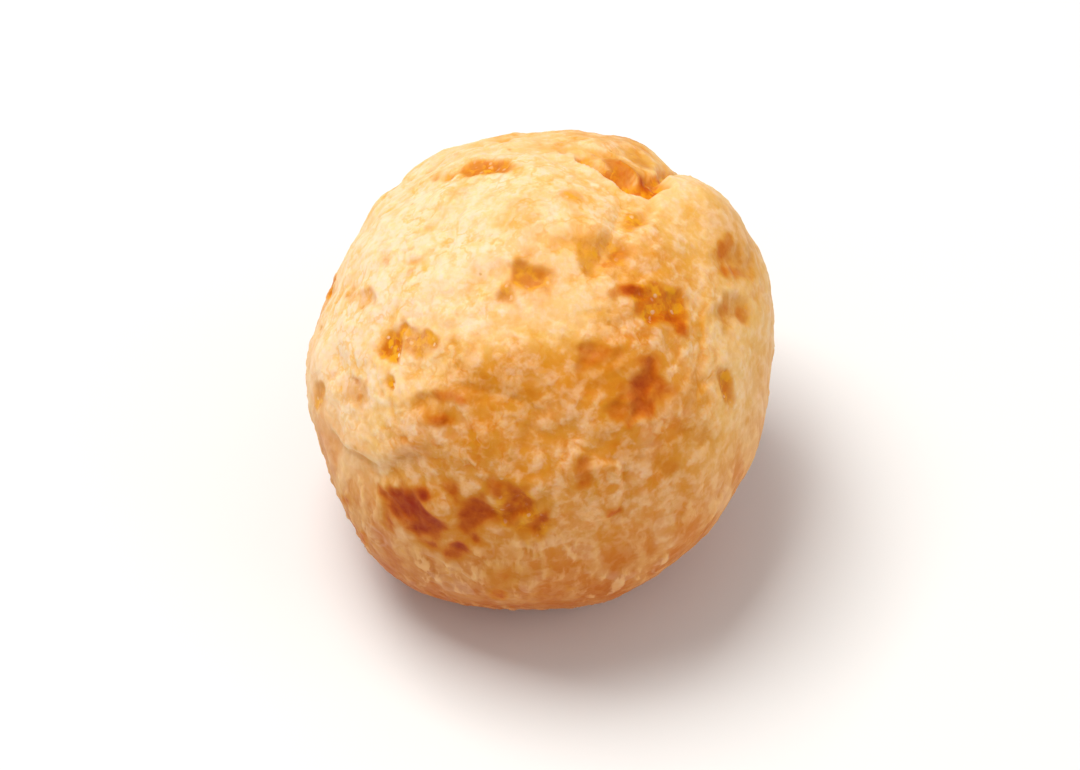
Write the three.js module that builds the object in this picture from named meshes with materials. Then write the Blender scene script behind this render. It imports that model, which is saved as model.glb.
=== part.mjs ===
// A pao de queijo: one baked cheese ball, a single solid of crumb inside a thin crust.
// Millimetres, +Z up. The origin is the middle of the flat base that it was baked on.
// The face with the long shelf and the window pits looks towards -Y and up.
import * as THREE from "three";

// ---- Driving dimensions ----
const WIDTH = 49.6; // across, left to right
const DEPTH = 51.0; // across, front to back
const CROWN_HEIGHT = 24.9; // crown above the ball's centre
const CENTRE_HEIGHT = 20.6; // ball's centre above the base
const BASE_ROUNDING = 1.8; // how softly the side turns into the flat base
const GRID = 30; // squares along each edge of the cube that is blown up into the ball

const RADIUS = (WIDTH + DEPTH) / 4; // the mean radius that arcs on the crust are measured with
const GOLDEN_ANGLE = Math.PI * (3 - Math.sqrt(5));
const GOLDEN_SHARE = 0.618034;
const UP = new THREE.Vector3(0, 0, 1);

// ---- Where the crust changes, as lifts in degrees above the ball's equator ----
const CRAGGY_FROM = -8; // below this the side is drawn smooth
const CRAGGY_ABOVE = 26; // above this the crust is fully craggy
const EVEN_BELOW = -52; // below this nothing disturbs the base
const UNEVEN_ABOVE = -30;

// Broad swells of the whole ball. Bearings run from the front (-Y) round by the right (+X).
const SWELLS = [
  { name: "right shoulder", bearing: 125, lift: 25, reach: 10, rise: 2.0 },
  { name: "lobe beside the split", bearing: 108, lift: 43, reach: 6.5, rise: 1.0 },
  { name: "lobe's corner", bearing: 119, lift: 46, reach: 4, rise: 0.8 },
  { name: "left heel", bearing: -40, lift: -34, reach: 9, rise: 1.7 },
  { name: "left hollow", bearing: -108, lift: 18, reach: 8.5, rise: -1.3 },
  { name: "left flank", bearing: -72, lift: -16, reach: 7, rise: -0.9 },
  { name: "right flank", bearing: 60, lift: -20, reach: 15, rise: -0.7 },
  { name: "right cheek", bearing: 96, lift: 4, reach: 9, rise: -0.5 },
  { name: "brow over the long shelf", bearing: -40, lift: 80, reach: 8, rise: 0.55 },
  { name: "cheek over the left ledge", bearing: -42, lift: 25, reach: 5.5, rise: 0.6 },
  { name: "hollow under the bulge", bearing: -8, lift: 42, reach: 5.5, rise: -0.5 },
  { name: "back lobe", bearing: 196, lift: 38, reach: 8, rise: 0.6 },
  { name: "back hollow", bearing: 204, lift: 60, reach: 6.5, rise: -0.5 },
  { name: "flap behind the split", bearing: 151, lift: 40, reach: 5, rise: 1.5 },
  { name: "dip between flap and shoulder", bearing: 139, lift: 29, reach: 4.5, rise: -1.7 },
  { name: "dip between flap and lobe", bearing: 137, lift: 47, reach: 4, rise: -1.2 },
  { name: "dip beside the flap", bearing: 170, lift: 38, reach: 6, rise: -0.5 },
];

// Window pits, where a bubble of cheese has burst: across and along are half sizes in mm, turn is in
// degrees.
const PITS = [
  { name: "left window", bearing: -55, lift: 42, across: 2.8, along: 1.7, turn: -55, depth: 0.55 },
  { name: "left window's pane", bearing: -46, lift: 48, across: 2.3, along: 1.4, turn: 31, depth: 0.35 },
  { name: "pit under the shelf", bearing: -11, lift: 72.5, across: 1.9, along: 1.5, turn: 36, depth: 0.5 },
  { name: "round saucer", bearing: 55, lift: 72.5, across: 2.7, along: 2.3, turn: -48, depth: 0.5 },
  { name: "right window", bearing: 56, lift: 54.5, across: 3.4, along: 2.2, turn: -58, depth: 0.55 },
  { name: "toasted dip", bearing: 34, lift: 42, across: 2.6, along: 2.3, turn: 43, depth: 0.4 },
  { name: "dip's upper arm", bearing: 21, lift: 53, across: 2.4, along: 1.5, turn: -30, depth: 0.3 },
  { name: "dip's lower arm", bearing: 25, lift: 38, across: 2.1, along: 0.9, turn: -10, depth: 0.3 },
  { name: "burnt patch", bearing: -32, lift: 7.5, across: 3.5, along: 2.8, turn: -20, depth: 0.3 },
  { name: "burnt dot", bearing: -20, lift: 0, across: 1.3, along: 1.0, turn: 62, depth: 0.2 },
  { name: "toasted streaks", bearing: -16, lift: 13, across: 2.8, along: 2.0, turn: 78, depth: 0.25 },
  { name: "amber patch", bearing: -5, lift: 16.5, across: 3.1, along: 1.8, turn: -58, depth: 0.45 },
  { name: "cheek pit", bearing: -34, lift: 37, across: 1.8, along: 1.3, turn: 42, depth: 0.4 },
  { name: "left edge pit", bearing: -71, lift: 15, across: 1.5, along: 1.1, turn: 63, depth: 0.35 },
  { name: "left mottled pit", bearing: -58, lift: 27, across: 2.1, along: 1.6, turn: 47, depth: 0.25 },
  { name: "upper left dimple", bearing: -76, lift: 43, across: 1.9, along: 1.2, turn: 25, depth: 0.4 },
  { name: "right upper dimple", bearing: 95, lift: 39, across: 3.2, along: 1.6, turn: -58, depth: 0.4 },
  { name: "right lower dimple", bearing: 79, lift: 36, across: 3.2, along: 1.7, turn: -37, depth: 0.35 },
  { name: "right slit", bearing: 61, lift: 27, across: 1.8, along: 1.0, turn: -88, depth: 0.4 },
  { name: "right mottled patch", bearing: 44, lift: 22, across: 3.2, along: 1.7, turn: -29, depth: 0.25 },
  { name: "spot by the plate", bearing: 11, lift: 26, across: 1.5, along: 1.1, turn: 85, depth: 0.2 },
  { name: "top slit", bearing: -147, lift: 66, across: 3.4, along: 1.3, turn: -52, depth: 0.6 },
  { name: "far top slit", bearing: -144, lift: 49, across: 2.1, along: 1.3, turn: -78, depth: 0.2 },
  { name: "top hollow", bearing: -166, lift: 52, across: 1.9, along: 0.9, turn: -82, depth: 0.2 },
  { name: "top notch", bearing: 169, lift: 61, across: 2.1, along: 0.7, turn: -70, depth: 0.3 },
];
const BACK_PITS = 13; // more pits of the same kind, spread over the back below the crown
const BACK_BEARINGS = [98, 262];
const BACK_LOWEST = -22; // how low they reach
const BACK_SLOPE = 0.78; // how steeply their upper limit rises from the sides to the middle of the back
const PIT_SEED = 41;
const PIT_LEAN = 0.2; // how much steeper a pit's upper edge is than its lower one
const PIT_WALL = [0.15, 1.25]; // where its wall climbs, in shares of its size out from its middle
const PIT_LIP = { at: 1.25, width: 0.25, share: 0.12 }; // its lip, rising to that share of its depth

// Tears: a steep wall under the crust on the line's left, and a gentle wall on its right.
// Each mark is a bearing, a lift, half the trough's width and its depth.
const TEARS = [
  {
    name: "split over the right shoulder",
    marks: [
      [134, 27, 0.4, 0.3],
      [135, 34, 0.6, 0.7],
      [133, 43, 0.7, 1.1],
      [128, 51, 0.8, 1.5],
      [120, 58, 1.2, 1.9],
      [123, 61.5, 1.6, 2.0],
      [132, 63.5, 1.6, 1.9],
      [142, 64.5, 1.4, 1.6],
      [152, 64.5, 1.0, 1.0],
      [159, 63, 0.5, 0.3],
    ],
  },
  {
    name: "split down the back",
    marks: [
      [-178, 33, 0.6, 0.4],
      [-168, 30, 1.2, 1.2],
      [-158, 23, 1.6, 1.7],
      [-160, 13, 1.4, 1.4],
      [-150, 4, 0.6, 0.4],
    ],
  },
];

// Where a tear's walls and its lip are, in half widths to the left of its line.
const FAR_WALL = [-3, -0.3];
const STEEP_WALL = [0.4, 1.5];
const TEAR_LIP = { at: 1.6, width: 0.4, rise: 0.12 };

// Shelves, where the crust on the line's left has slid out over the crust on its right.
const SHELVES = [
  {
    name: "long shelf",
    marks: [[-53, 58], [-49, 65], [-40, 71], [-26, 75], [-4, 79], [38, 80], [66, 75], [86, 69]],
    rise: 0.45,
    drop: 0.65,
    spread: 7.5,
    edge: 1.3,
  },
  {
    name: "crease below the split",
    marks: [[123, 53], [119, 58], [110, 61], [98, 65], [86, 67], [76, 66]],
    rise: 0.45,
    drop: 0.35,
    spread: 3.0,
    edge: 0.5,
  },
  {
    name: "left ledge",
    marks: [[-66, 6], [-59, 11], [-47, 14], [-41, 16.5], [-37, 20.5], [-31, 26], [-24, 26.5]],
    rise: 0.35,
    drop: 0.4,
    spread: 2.6,
    edge: 0.4,
  },
  {
    name: "loose plate",
    marks: [[8, 12], [15, 11], [20, 14], [22, 20], [21, 26], [15, 29], [9, 26]],
    rise: 0.25,
    drop: 0.25,
    spread: 1.8,
    edge: 0.25,
  },
  {
    name: "back ledge",
    marks: [[118, 6], [134, 12], [150, 9], [166, 16], [182, 13]],
    rise: 0.35,
    drop: 0.45,
    spread: 3.2,
    edge: 0.6,
  },
  {
    name: "low ledge",
    marks: [[-100, 4], [-112, 10], [-126, 8], [-138, 15]],
    rise: 0.25,
    drop: 0.35,
    spread: 2.8,
    edge: 0.5,
  },
];
const SHELF_FADING = 4; // over how many mm a shelf dies away at each end
const CORNER_CUTS = 2; // how many times the corners of each line are cut, to round them

// Unevenness of the whole ball, and the puffs and billows that the crown breaks up into.
const LUMPS = [
  { seed: 3, pitch: 27, height: 0.24 },
  { seed: 8, pitch: 14, height: 0.17 },
];
const CRAGS = { seed: 15, pitch: 6.5, height: 0.11 };
const BILLOWS = [
  { seed: 71, pitch: 8.5, height: 0.12 },
  { seed: 74, pitch: 4.2, height: 0.05 },
];
const BILLOW_EVENING = 0.8; // how much of each billow's height is taken off again, to keep the size
const FOLDS = { seed: 83, pitch: 9, height: 1 };
const FOLDED = [-0.5, 0.9]; // over which of the folds' heights the puffs' creases are drawn in
const PUFFS = { seed: 23, count: 120, crease: 0.13, creaseWidth: 1.2, crowning: 0.16 };
const PUFF_SCATTER = 0.7; // how far a puff stands off its even place, in shares of its half width
const CALMS = [
  { name: "smooth lobe", bearing: 104, lift: 42, reach: 8, rise: 0.85 },
  { name: "smooth bulge under the long shelf", bearing: 10, lift: 62, reach: 5.5, rise: 0.6 },
  { name: "smooth right side", bearing: 72, lift: 12, reach: 9, rise: 0.6 },
  { name: "smooth low front", bearing: 20, lift: -2, reach: 8, rise: 0.4 },
];

// How far puffs and lines are pushed about, so that they don't run too straight.
const WARP = { seed: 31, pitch: 11, height: 1.5 };
const FRAY = { seed: 91, pitch: 3.8, height: 0.4 };
const PIT_WOBBLES = [
  { seed: 57, pitch: 4.0, height: 0.18 },
  { seed: 61, pitch: 1.8, height: 0.1 },
];

// Repeatable dice: the same rolls on every run.
class Dice {
  constructor(seed) {
    this.state = (seed * 2654435761) >>> 0;
    this.roll();
  }
  roll() {
    this.state = (Math.imul(this.state, 1664525) + 1013904223) >>> 0;
    return this.state / 4294967296;
  }
  between(low, high) {
    return low + (high - low) * this.roll();
  }
}

const radians = THREE.MathUtils.degToRad;
const smooth = (x, low, high) => THREE.MathUtils.smoothstep(x, low, high);
const bell = (x) => Math.exp(-(x ** 2));
const lipAt = (x, { at, width }) => bell((x - at) / width);
const total = (list, value) => list.reduce((sum, item) => sum + value(item), 0);

// A point on the unit ball at a bearing and a lift.
function heading(bearing, lift) {
  const b = radians(bearing);
  const l = radians(lift);
  return new THREE.Vector3(Math.cos(l) * Math.sin(b), -Math.cos(l) * Math.cos(b), Math.sin(l));
}

// Point i of n, spread evenly over the unit ball.
function evenly(i, n) {
  const height = 1 - (2 * i + 1) / n;
  const flat = Math.sqrt(1 - height * height);
  return new THREE.Vector3(flat * Math.cos(i * GOLDEN_ANGLE), flat * Math.sin(i * GOLDEN_ANGLE), height);
}

// ---- Ripples: smooth unevenness, from waves of nearly one pitch that cross from all sides ----

function ripple({ seed, pitch, height }, count = 20) {
  const dice = new Dice(seed);
  const waves = Array.from({ length: count }, (_, i) => ({
    way: evenly(i, count).multiplyScalar((2 * Math.PI) / (pitch * dice.between(0.75, 1.3))),
    phase: 2 * Math.PI * dice.roll(),
  }));
  const evening = height * Math.sqrt(2 / count);
  return (place) => evening * total(waves, (wave) => Math.sin(wave.way.dot(place) + wave.phase));
}

// Three ripples that push a place about over the ball, one along each axis.
function shifter(shift) {
  const ripples = [0, 1, 2].map((i) => ripple({ ...shift, seed: shift.seed + i }));
  return (place) => {
    const push = new THREE.Vector3(...ripples.map((at) => at(place)));
    return push.add(place).setLength(RADIUS);
  };
}

// ---- Swells and pits: each gives its rise in mm at a way from the ball's centre ----

function swell({ bearing, lift, reach, rise }) {
  const middle = heading(bearing, lift);
  return (way) => rise * bell((RADIUS * middle.angleTo(way)) / reach);
}

// A pit has a floor, a wall and a low raised lip.
function pit({ bearing, lift, across, along, turn, depth }) {
  const middle = heading(bearing, lift);
  const east = new THREE.Vector3().crossVectors(UP, middle).normalize();
  const north = new THREE.Vector3().crossVectors(middle, east);
  const cos = Math.cos(radians(turn));
  const sin = Math.sin(radians(turn));
  return (way, wobble) => {
    if (middle.dot(way) < 0.5) return 0;
    const e = RADIUS * east.dot(way);
    const n = RADIUS * north.dot(way);
    const out = Math.hypot((e * cos + n * sin) / across, (n * cos - e * sin) / along);
    const share = out * (1 + PIT_LEAN * Math.tanh(n / along)) + wobble;
    return depth * (PIT_LIP.share * lipAt(share, PIT_LIP) - (1 - smooth(share, ...PIT_WALL)));
  };
}

// ---- Lines over the ball, and the tears and shelves that follow them ----

const { lerp } = THREE.MathUtils;
const blend = (first, second, share) => first.map((value, i) => lerp(value, second[i], share));

function cornersCut(rows) {
  const cut = rows.slice(1).flatMap((next, i) => [blend(rows[i], next, 0.25), blend(rows[i], next, 0.75)]);
  return [rows[0], ...cut, rows.at(-1)];
}

// A line as straight runs, each with the sizes that its marks give at its two ends.
function makeLine(marks) {
  const onBall = (bearing, lift) => heading(bearing, lift).multiplyScalar(RADIUS).toArray();
  let rows = marks.map(([bearing, lift, ...sizes]) => [...onBall(bearing, lift), ...sizes]);
  for (let i = 0; i < CORNER_CUTS; i++) rows = cornersCut(rows);
  const runs = [];
  let length = 0;
  for (let i = 0; i + 1 < rows.length; i++) {
    const from = new THREE.Vector3(...rows[i]);
    const run = new THREE.Vector3(...rows[i + 1]).sub(from);
    const step = run.length();
    const sizes = [rows[i].slice(3), rows[i + 1].slice(3)];
    runs.push({ from, run: run.normalize(), step, start: length, sizes });
    length += step;
  }
  return { runs, length };
}

// The nearest place on a line: how far to its left a way is, how far past its ends, how far in from its
// nearer end, and its sizes there.
function nearOn(line, way) {
  const place = way.clone().multiplyScalar(RADIUS);
  const near = { away: Infinity };
  for (const { from, run, step, start, sizes } of line.runs) {
    const off = place.clone().sub(from);
    const far = THREE.MathUtils.clamp(off.dot(run), 0, step);
    const away = off.addScaledVector(run, -far).length();
    if (away < near.away) {
      const left = new THREE.Vector3().crossVectors(way, run).normalize();
      const there = blend(...sizes, far / step);
      Object.assign(near, { away, side: off.dot(left), along: start + far, sizes: there });
    }
  }
  const { away, side, along, sizes } = near;
  const inward = Math.min(along, line.length - along);
  if (inward > 0) return { side: Math.sign(side) * away, beyond: 0, inward, sizes };
  return { side, beyond: Math.sqrt(Math.max(away ** 2 - side ** 2, 0)), inward, sizes };
}

function tear({ marks }) {
  const line = makeLine(marks);
  return (way) => {
    const { side, beyond, sizes } = nearOn(line, way);
    const [half, depth] = sizes;
    const across = side / half;
    const ends = 1 - smooth(beyond, 0, 1);
    const floor = smooth(across, ...FAR_WALL) * (1 - smooth(across, ...STEEP_WALL));
    return ends * (TEAR_LIP.rise * lipAt(across, TEAR_LIP) - depth * floor);
  };
}

function shelf({ marks, rise, drop, spread, edge }) {
  const line = makeLine(marks);
  return (way) => {
    const { side, beyond, inward } = nearOn(line, way);
    const turned = Math.tanh(side / edge);
    const there = smooth(inward, 0, SHELF_FADING) * bell(Math.hypot(side, beyond) / spread);
    return there * (turned > 0 ? rise : drop) * turned;
  };
}

// ---- Puffs: rounded cells with creases between them ----

function puffs({ seed, count, crease, creaseWidth, crowning }) {
  const dice = new Dice(seed);
  const half = RADIUS * Math.sqrt(4 / count);
  const middles = Array.from({ length: count }, (_, i) => {
    const shift = new THREE.Vector3(dice.roll() - 0.5, dice.roll() - 0.5, dice.roll() - 0.5);
    const place = evenly(i, count).multiplyScalar(RADIUS);
    return place.addScaledVector(shift, 2 * half * PUFF_SCATTER).setLength(RADIUS);
  });
  return (place, folded) => {
    const [first, second] = middles.map((middle) => middle.distanceTo(place)).sort((a, b) => a - b);
    return crowning * (1 - (first / half) ** 2) - crease * folded * bell((second - first) / creaseWidth);
  };
}

// ---- The ball's own forms, ready to be asked ----

// A bearing and a lift on the back, below the crown.
function backPlace(i, dice) {
  const bearing = lerp(...BACK_BEARINGS, (i * GOLDEN_SHARE + 0.1 * dice.roll()) % 1);
  const highest = THREE.MathUtils.radToDeg(Math.atan(-BACK_SLOPE * Math.cos(radians(bearing))));
  return { bearing, lift: dice.between(BACK_LOWEST, highest) };
}

function backPits() {
  const dice = new Dice(PIT_SEED);
  return Array.from({ length: BACK_PITS }, (_, i) => ({
    name: `back pit ${i + 1}`,
    ...backPlace(i, dice),
    across: dice.between(0.9, 2.7),
    along: dice.between(0.9, 1.9),
    turn: dice.between(-50, 50),
    depth: dice.between(0.3, 0.85),
  }));
}

const swells = SWELLS.map(swell);
const pits = [...PITS, ...backPits()].map(pit);
const tears = TEARS.map(tear);
const shelves = SHELVES.map(shelf);
const lumps = LUMPS.map((lump) => ripple(lump));
const billows = BILLOWS.map((billow) => ({ height: billow.height, at: ripple(billow) }));
const wobbles = PIT_WOBBLES.map((wobble) => ripple(wobble));
const crags = ripple(CRAGS);
const folds = ripple(FOLDS);
const calms = CALMS.map(swell);
const puff = puffs(PUFFS);
const warped = shifter(WARP);
const frayed = shifter(FRAY);

// The rise of the crust above the plain ball, in mm, at a way from its centre.
function crustRise(way) {
  const place = way.clone().multiplyScalar(RADIUS);
  const bent = warped(place);
  const edgeWay = frayed(place).normalize();
  const lift = THREE.MathUtils.radToDeg(Math.asin(way.z));
  const calm = THREE.MathUtils.clamp(total(calms, (at) => at(way)), 0, 1);
  const craggy = smooth(lift, CRAGGY_FROM, CRAGGY_ABOVE) * (1 - calm);
  const billowed = total(billows, (billow) => Math.abs(billow.at(bent)) - BILLOW_EVENING * billow.height);
  const wobble = total(wobbles, (at) => at(place));

  let rise = total(lumps, (at) => at(place));
  rise += total(swells, (at) => at(way));
  rise += craggy * (puff(bent, smooth(folds(place), ...FOLDED)) + crags(place) + billowed);
  rise += total(shelves, (at) => at(edgeWay));
  rise += total(tears, (at) => at(edgeWay));
  rise += total(pits, (at) => at(way, wobble));
  return smooth(lift, EVEN_BELOW, UNEVEN_ABOVE) * rise;
}

// Where a way from the ball's centre meets the crust, standing on the base.
function crustPoint(way) {
  const plain = 1 / Math.hypot(way.x / (WIDTH / 2), way.y / (DEPTH / 2), way.z / CROWN_HEIGHT);
  const point = way.clone().multiplyScalar(plain + crustRise(way));
  point.z += CENTRE_HEIGHT;
  if (point.z < -BASE_ROUNDING) point.z = 0;
  else if (point.z < BASE_ROUNDING) point.z = (point.z + BASE_ROUNDING) ** 2 / (4 * BASE_ROUNDING);
  return point;
}

// A cube's surface as a grid of squares, with each shared corner kept once.
function cubeGrid(squares) {
  const box = new THREE.BoxGeometry(2, 2, 2, squares, squares, squares);
  const from = box.getAttribute("position");
  const kept = new Map();
  const corners = [];
  const index = Array.from(box.index.array, (i) => {
    const step = [from.getX(i), from.getY(i), from.getZ(i)].map((c) => Math.round(((c + 1) * squares) / 2));
    const key = step.join(" ");
    if (!kept.has(key)) {
      kept.set(key, corners.length);
      corners.push(step.map((s) => (2 * s) / squares - 1));
    }
    return kept.get(key);
  });
  return { corners, index };
}

function ballGeometry() {
  const { corners, index } = cubeGrid(GRID);
  const position = corners.flatMap((corner) => {
    const even = corner.map((c) => Math.tan((c * Math.PI) / 4)); // keeps the squares nearly one size
    return crustPoint(new THREE.Vector3(...even).normalize()).toArray();
  });
  const geometry = new THREE.BufferGeometry();
  geometry.setAttribute("position", new THREE.Float32BufferAttribute(position, 3));
  geometry.setIndex(index);
  geometry.computeVertexNormals();
  return geometry;
}

const crust = new THREE.MeshStandardMaterial({ color: 0xf0c37c, roughness: 0.5, metalness: 0 });
const ball = new THREE.Mesh(ballGeometry(), crust);
ball.name = "cheese_ball";

const part = new THREE.Group();
part.add(ball);
export default part;
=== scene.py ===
"""A baked pao de queijo cheese ball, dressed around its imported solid.

The ball's form repeats the solid's own form on a finer grid. Geometry Nodes then raise its skin: film,
blisters, crinkles, net, peel, streaks, pores and grain. Sizes are in millimetres until a mesh is made, and
in metres from there on.
"""

from __future__ import annotations

import logging
import math
from dataclasses import dataclass, field
from enum import Enum
from functools import cached_property

import bpy
import numpy as np
from mathutils import Matrix, Vector

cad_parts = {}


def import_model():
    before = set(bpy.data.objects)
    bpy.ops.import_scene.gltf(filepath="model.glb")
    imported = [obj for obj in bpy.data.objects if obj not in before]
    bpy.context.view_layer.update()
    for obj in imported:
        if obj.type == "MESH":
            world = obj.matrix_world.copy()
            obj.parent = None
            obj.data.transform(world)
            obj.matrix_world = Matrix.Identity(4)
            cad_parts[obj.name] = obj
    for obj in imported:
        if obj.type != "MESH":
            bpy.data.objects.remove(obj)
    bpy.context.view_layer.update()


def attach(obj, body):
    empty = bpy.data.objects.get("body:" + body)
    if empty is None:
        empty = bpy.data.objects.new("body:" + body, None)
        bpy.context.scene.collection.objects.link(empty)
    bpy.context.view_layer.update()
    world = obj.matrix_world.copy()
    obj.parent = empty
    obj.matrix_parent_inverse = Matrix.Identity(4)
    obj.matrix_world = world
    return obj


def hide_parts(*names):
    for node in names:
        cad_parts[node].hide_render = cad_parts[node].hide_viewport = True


log = logging.getLogger("cheese_ball")

METRES = 0.001  # one millimetre
GOLDEN_ANGLE = math.pi * (3 - math.sqrt(5))
GOLDEN_SHARE = 0.618034
CORNER_CUT = 0.25  # how much of a line's step each round of rounding cuts off at its ends
FAR_OUT = 9.0  # a share that is outside every patch
Marks = tuple[tuple[float, ...], ...]
Span = tuple[float, float]  # where something starts and where it is complete
Bell = tuple[float, float]  # where something is strongest and how wide it is


# ---------------------------------------------------------------- the ball's form, as in its solid


class Dice:
    """Repeatable dice: the same rolls on every run, and the same as the solid's."""

    def __init__(self, seed: int) -> None:
        """Starts the rolls.

        Args:
            seed: which run of rolls to give.
        """
        self.state = (seed * 2654435761) % 2**32
        self.roll()

    def roll(self) -> float:
        """Returns the next number from 0 up to 1."""
        self.state = (self.state * 1664525 + 1013904223) % 2**32
        return self.state / 2**32

    def between(self, low: float, high: float) -> float:
        """Returns the next number from low up to high."""
        return low + (high - low) * self.roll()


def smooth(x: np.ndarray, low: float, high: float) -> np.ndarray:
    """Returns 0 below low and 1 above high, with a soft step between."""
    t = np.clip((x - low) / (high - low), 0, 1)
    return t * t * (3 - 2 * t)


def bell(x: np.ndarray, at: float, width: float) -> np.ndarray:
    """Returns 1 at one value, dying away softly on both sides of it."""
    return np.exp(-(((x - at) / width) ** 2))


def unit(v: np.ndarray) -> np.ndarray:
    """Returns the vectors at length 1."""
    return v / np.linalg.norm(v, axis=-1, keepdims=True)


def heading(bearing: float, lift: float) -> np.ndarray:
    """Finds a point on the unit ball.

    Args:
        bearing: degrees from the front (-Y), round by the right (+X).
        lift: degrees above the equator.

    Returns:
        The point.
    """
    b, t = math.radians(bearing), math.radians(lift)
    return np.array([math.cos(t) * math.sin(b), -math.cos(t) * math.cos(b), math.sin(t)])


def evenly(count: int) -> np.ndarray:
    """Spreads points evenly over the unit ball.

    Args:
        count: how many points.

    Returns:
        The points, one in each row.
    """
    i = np.arange(count)
    height = 1 - (2 * i + 1) / count
    flat = np.sqrt(1 - height**2)
    return np.stack([flat * np.cos(i * GOLDEN_ANGLE), flat * np.sin(i * GOLDEN_ANGLE), height], axis=1)


@dataclass(frozen=True)
class Ripple:
    """A smooth unevenness: waves of nearly one pitch, crossing from all sides."""

    seed: int
    pitch: float
    height: float = 1.0  # how far it reaches up and down
    count: int = 20
    pitches: Span = (0.75, 1.3)  # the shortest and the longest wave, in pitches

    def at(self, place: np.ndarray) -> np.ndarray:
        """Works out the unevenness.

        Args:
            place: places in mm.

        Returns:
            How far up or down it is at each place, in the units of its height.
        """
        dice = Dice(self.seed)
        total = np.zeros(len(place))
        for way in evenly(self.count):
            wave = way * 2 * math.pi / (self.pitch * dice.between(*self.pitches))
            total += np.sin(place @ wave + 2 * math.pi * dice.roll())
        return self.height * total * math.sqrt(2 / self.count)


@dataclass(frozen=True)
class Swell:
    """A broad rise, or a hollow where rise is negative."""

    bearing: float  # degrees from the front, round by the right
    lift: float  # degrees above the equator
    reach: float  # how far off it has sunk to about a third
    rise: float

    def at(self, way: np.ndarray, radius: float) -> np.ndarray:
        """Returns the rise at each way from the ball's centre."""
        away = radius * np.arccos(np.clip(way @ heading(self.bearing, self.lift), -1, 1))
        return self.rise * np.exp(-((away / self.reach) ** 2))


@dataclass(frozen=True)
class Stain:
    """A patch of the crust that is baked through to bare cheese, toasted or both."""

    bearing: float
    lift: float
    across: float  # half its size from side to side, in mm
    along: float  # and up and down
    turn: float  # by how many degrees it is then turned
    window: float  # how far it is bare melted cheese, from 0 to 1
    toast: float  # how dark it is baked, from 0 to 1, and above for burnt
    lean: float = 0.0  # how much steeper its upper edge is than its lower one
    faded: float = 1.9  # how far out its toasting has faded away

    def share(self, way: np.ndarray, radius: float) -> tuple[np.ndarray, np.ndarray]:
        """Finds where each way lies in the patch.

        Args:
            way: unit vectors from the ball's centre.
            radius: the ball's radius.

        Returns:
            How far out each way lies, with 1 at the patch's edge, and how far up it, from -1 to 1.
        """
        middle = heading(self.bearing, self.lift)
        east = unit(np.cross([0, 0, 1], middle))
        north = np.cross(middle, east)
        turn = math.radians(self.turn)
        e, n = radius * (way @ east), radius * (way @ north)
        out = np.hypot(
            (e * math.cos(turn) + n * math.sin(turn)) / self.across,
            (n * math.cos(turn) - e * math.sin(turn)) / self.along,
        )
        up = np.tanh(n / self.along)
        far_side = way @ middle < 0.5
        return np.where(far_side, FAR_OUT, out * (1 + self.lean * up)), up


@dataclass(frozen=True)
class Pit(Stain):
    """A burst window in the crust: a patch with a sunken floor, a wall and a low raised lip."""

    depth: float = 0.3
    lean: float = 0.2
    spread: float = 1.0  # how far its bare cheese reaches, against its hollow
    wall: Span = (0.15, 1.25)  # where its wall climbs, in shares of its size
    lip: Bell = (1.25, 0.25)
    lip_rise: float = 0.12  # in depths

    def at(self, share: np.ndarray) -> np.ndarray:
        """Returns the rise at each share, below 0 on the floor and above it on the lip."""
        return self.depth * (self.lip_rise * bell(share, *self.lip) - (1 - smooth(share, *self.wall)))


@dataclass(frozen=True)
class Line:
    """A line over the ball that carries sizes along it, with its corners rounded off.

    Each mark is a bearing and a lift in degrees, then any sizes there in mm.
    """

    marks: Marks
    rounds: int = 2

    def rows(self, radius: float) -> np.ndarray:
        """Works out the rounded line.

        Args:
            radius: the ball's radius.

        Returns:
            The line's points in mm, each followed by its sizes.
        """
        rows = np.array([[*heading(*mark[:2]) * radius, *mark[2:]] for mark in self.marks])
        for _ in range(self.rounds):
            early = (1 - CORNER_CUT) * rows[:-1] + CORNER_CUT * rows[1:]
            late = CORNER_CUT * rows[:-1] + (1 - CORNER_CUT) * rows[1:]
            cut = np.stack([early, late], axis=1).reshape(-1, rows.shape[1])
            rows = np.concatenate([rows[:1], cut, rows[-1:]])
        return rows

    def near(
        self, way: np.ndarray, radius: float
    ) -> tuple[np.ndarray, np.ndarray, np.ndarray, list[np.ndarray]]:
        """Finds the nearest place on the line.

        Args:
            way: unit vectors from the ball's centre.
            radius: the ball's radius.

        Returns:
            How far to its left each way is, how far past its ends, how far from its nearer end, and each
            of its sizes there.
        """
        rows = self.rows(radius)
        steps = np.linalg.norm(np.diff(rows[:, :3], axis=0), axis=1)
        arcs = np.concatenate([[0], np.cumsum(steps)])
        away = np.full(len(way), np.inf)
        side, along = np.zeros(len(way)), np.zeros(len(way))
        for i, step in enumerate(steps):
            run = (rows[i + 1, :3] - rows[i, :3]) / step
            start = way * radius - rows[i, :3]
            far = np.clip(start @ run, 0, step)
            off = start - far[:, None] * run
            reach = np.linalg.norm(off, axis=1)
            nearer = reach < away
            away = np.where(nearer, reach, away)
            side = np.where(nearer, (off * unit(np.cross(way, run))).sum(1), side)
            along = np.where(nearer, arcs[i] + far, along)
        ended = (along <= 0) | (along >= arcs[-1])
        beyond = np.where(ended, np.sqrt(np.maximum(away**2 - side**2, 0)), 0)
        side = np.where(ended, side, np.copysign(away, side))
        sizes = [np.interp(along, arcs, rows[:, k]) for k in range(3, rows.shape[1])]
        return side, beyond, np.minimum(along, arcs[-1] - along), sizes


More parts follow.
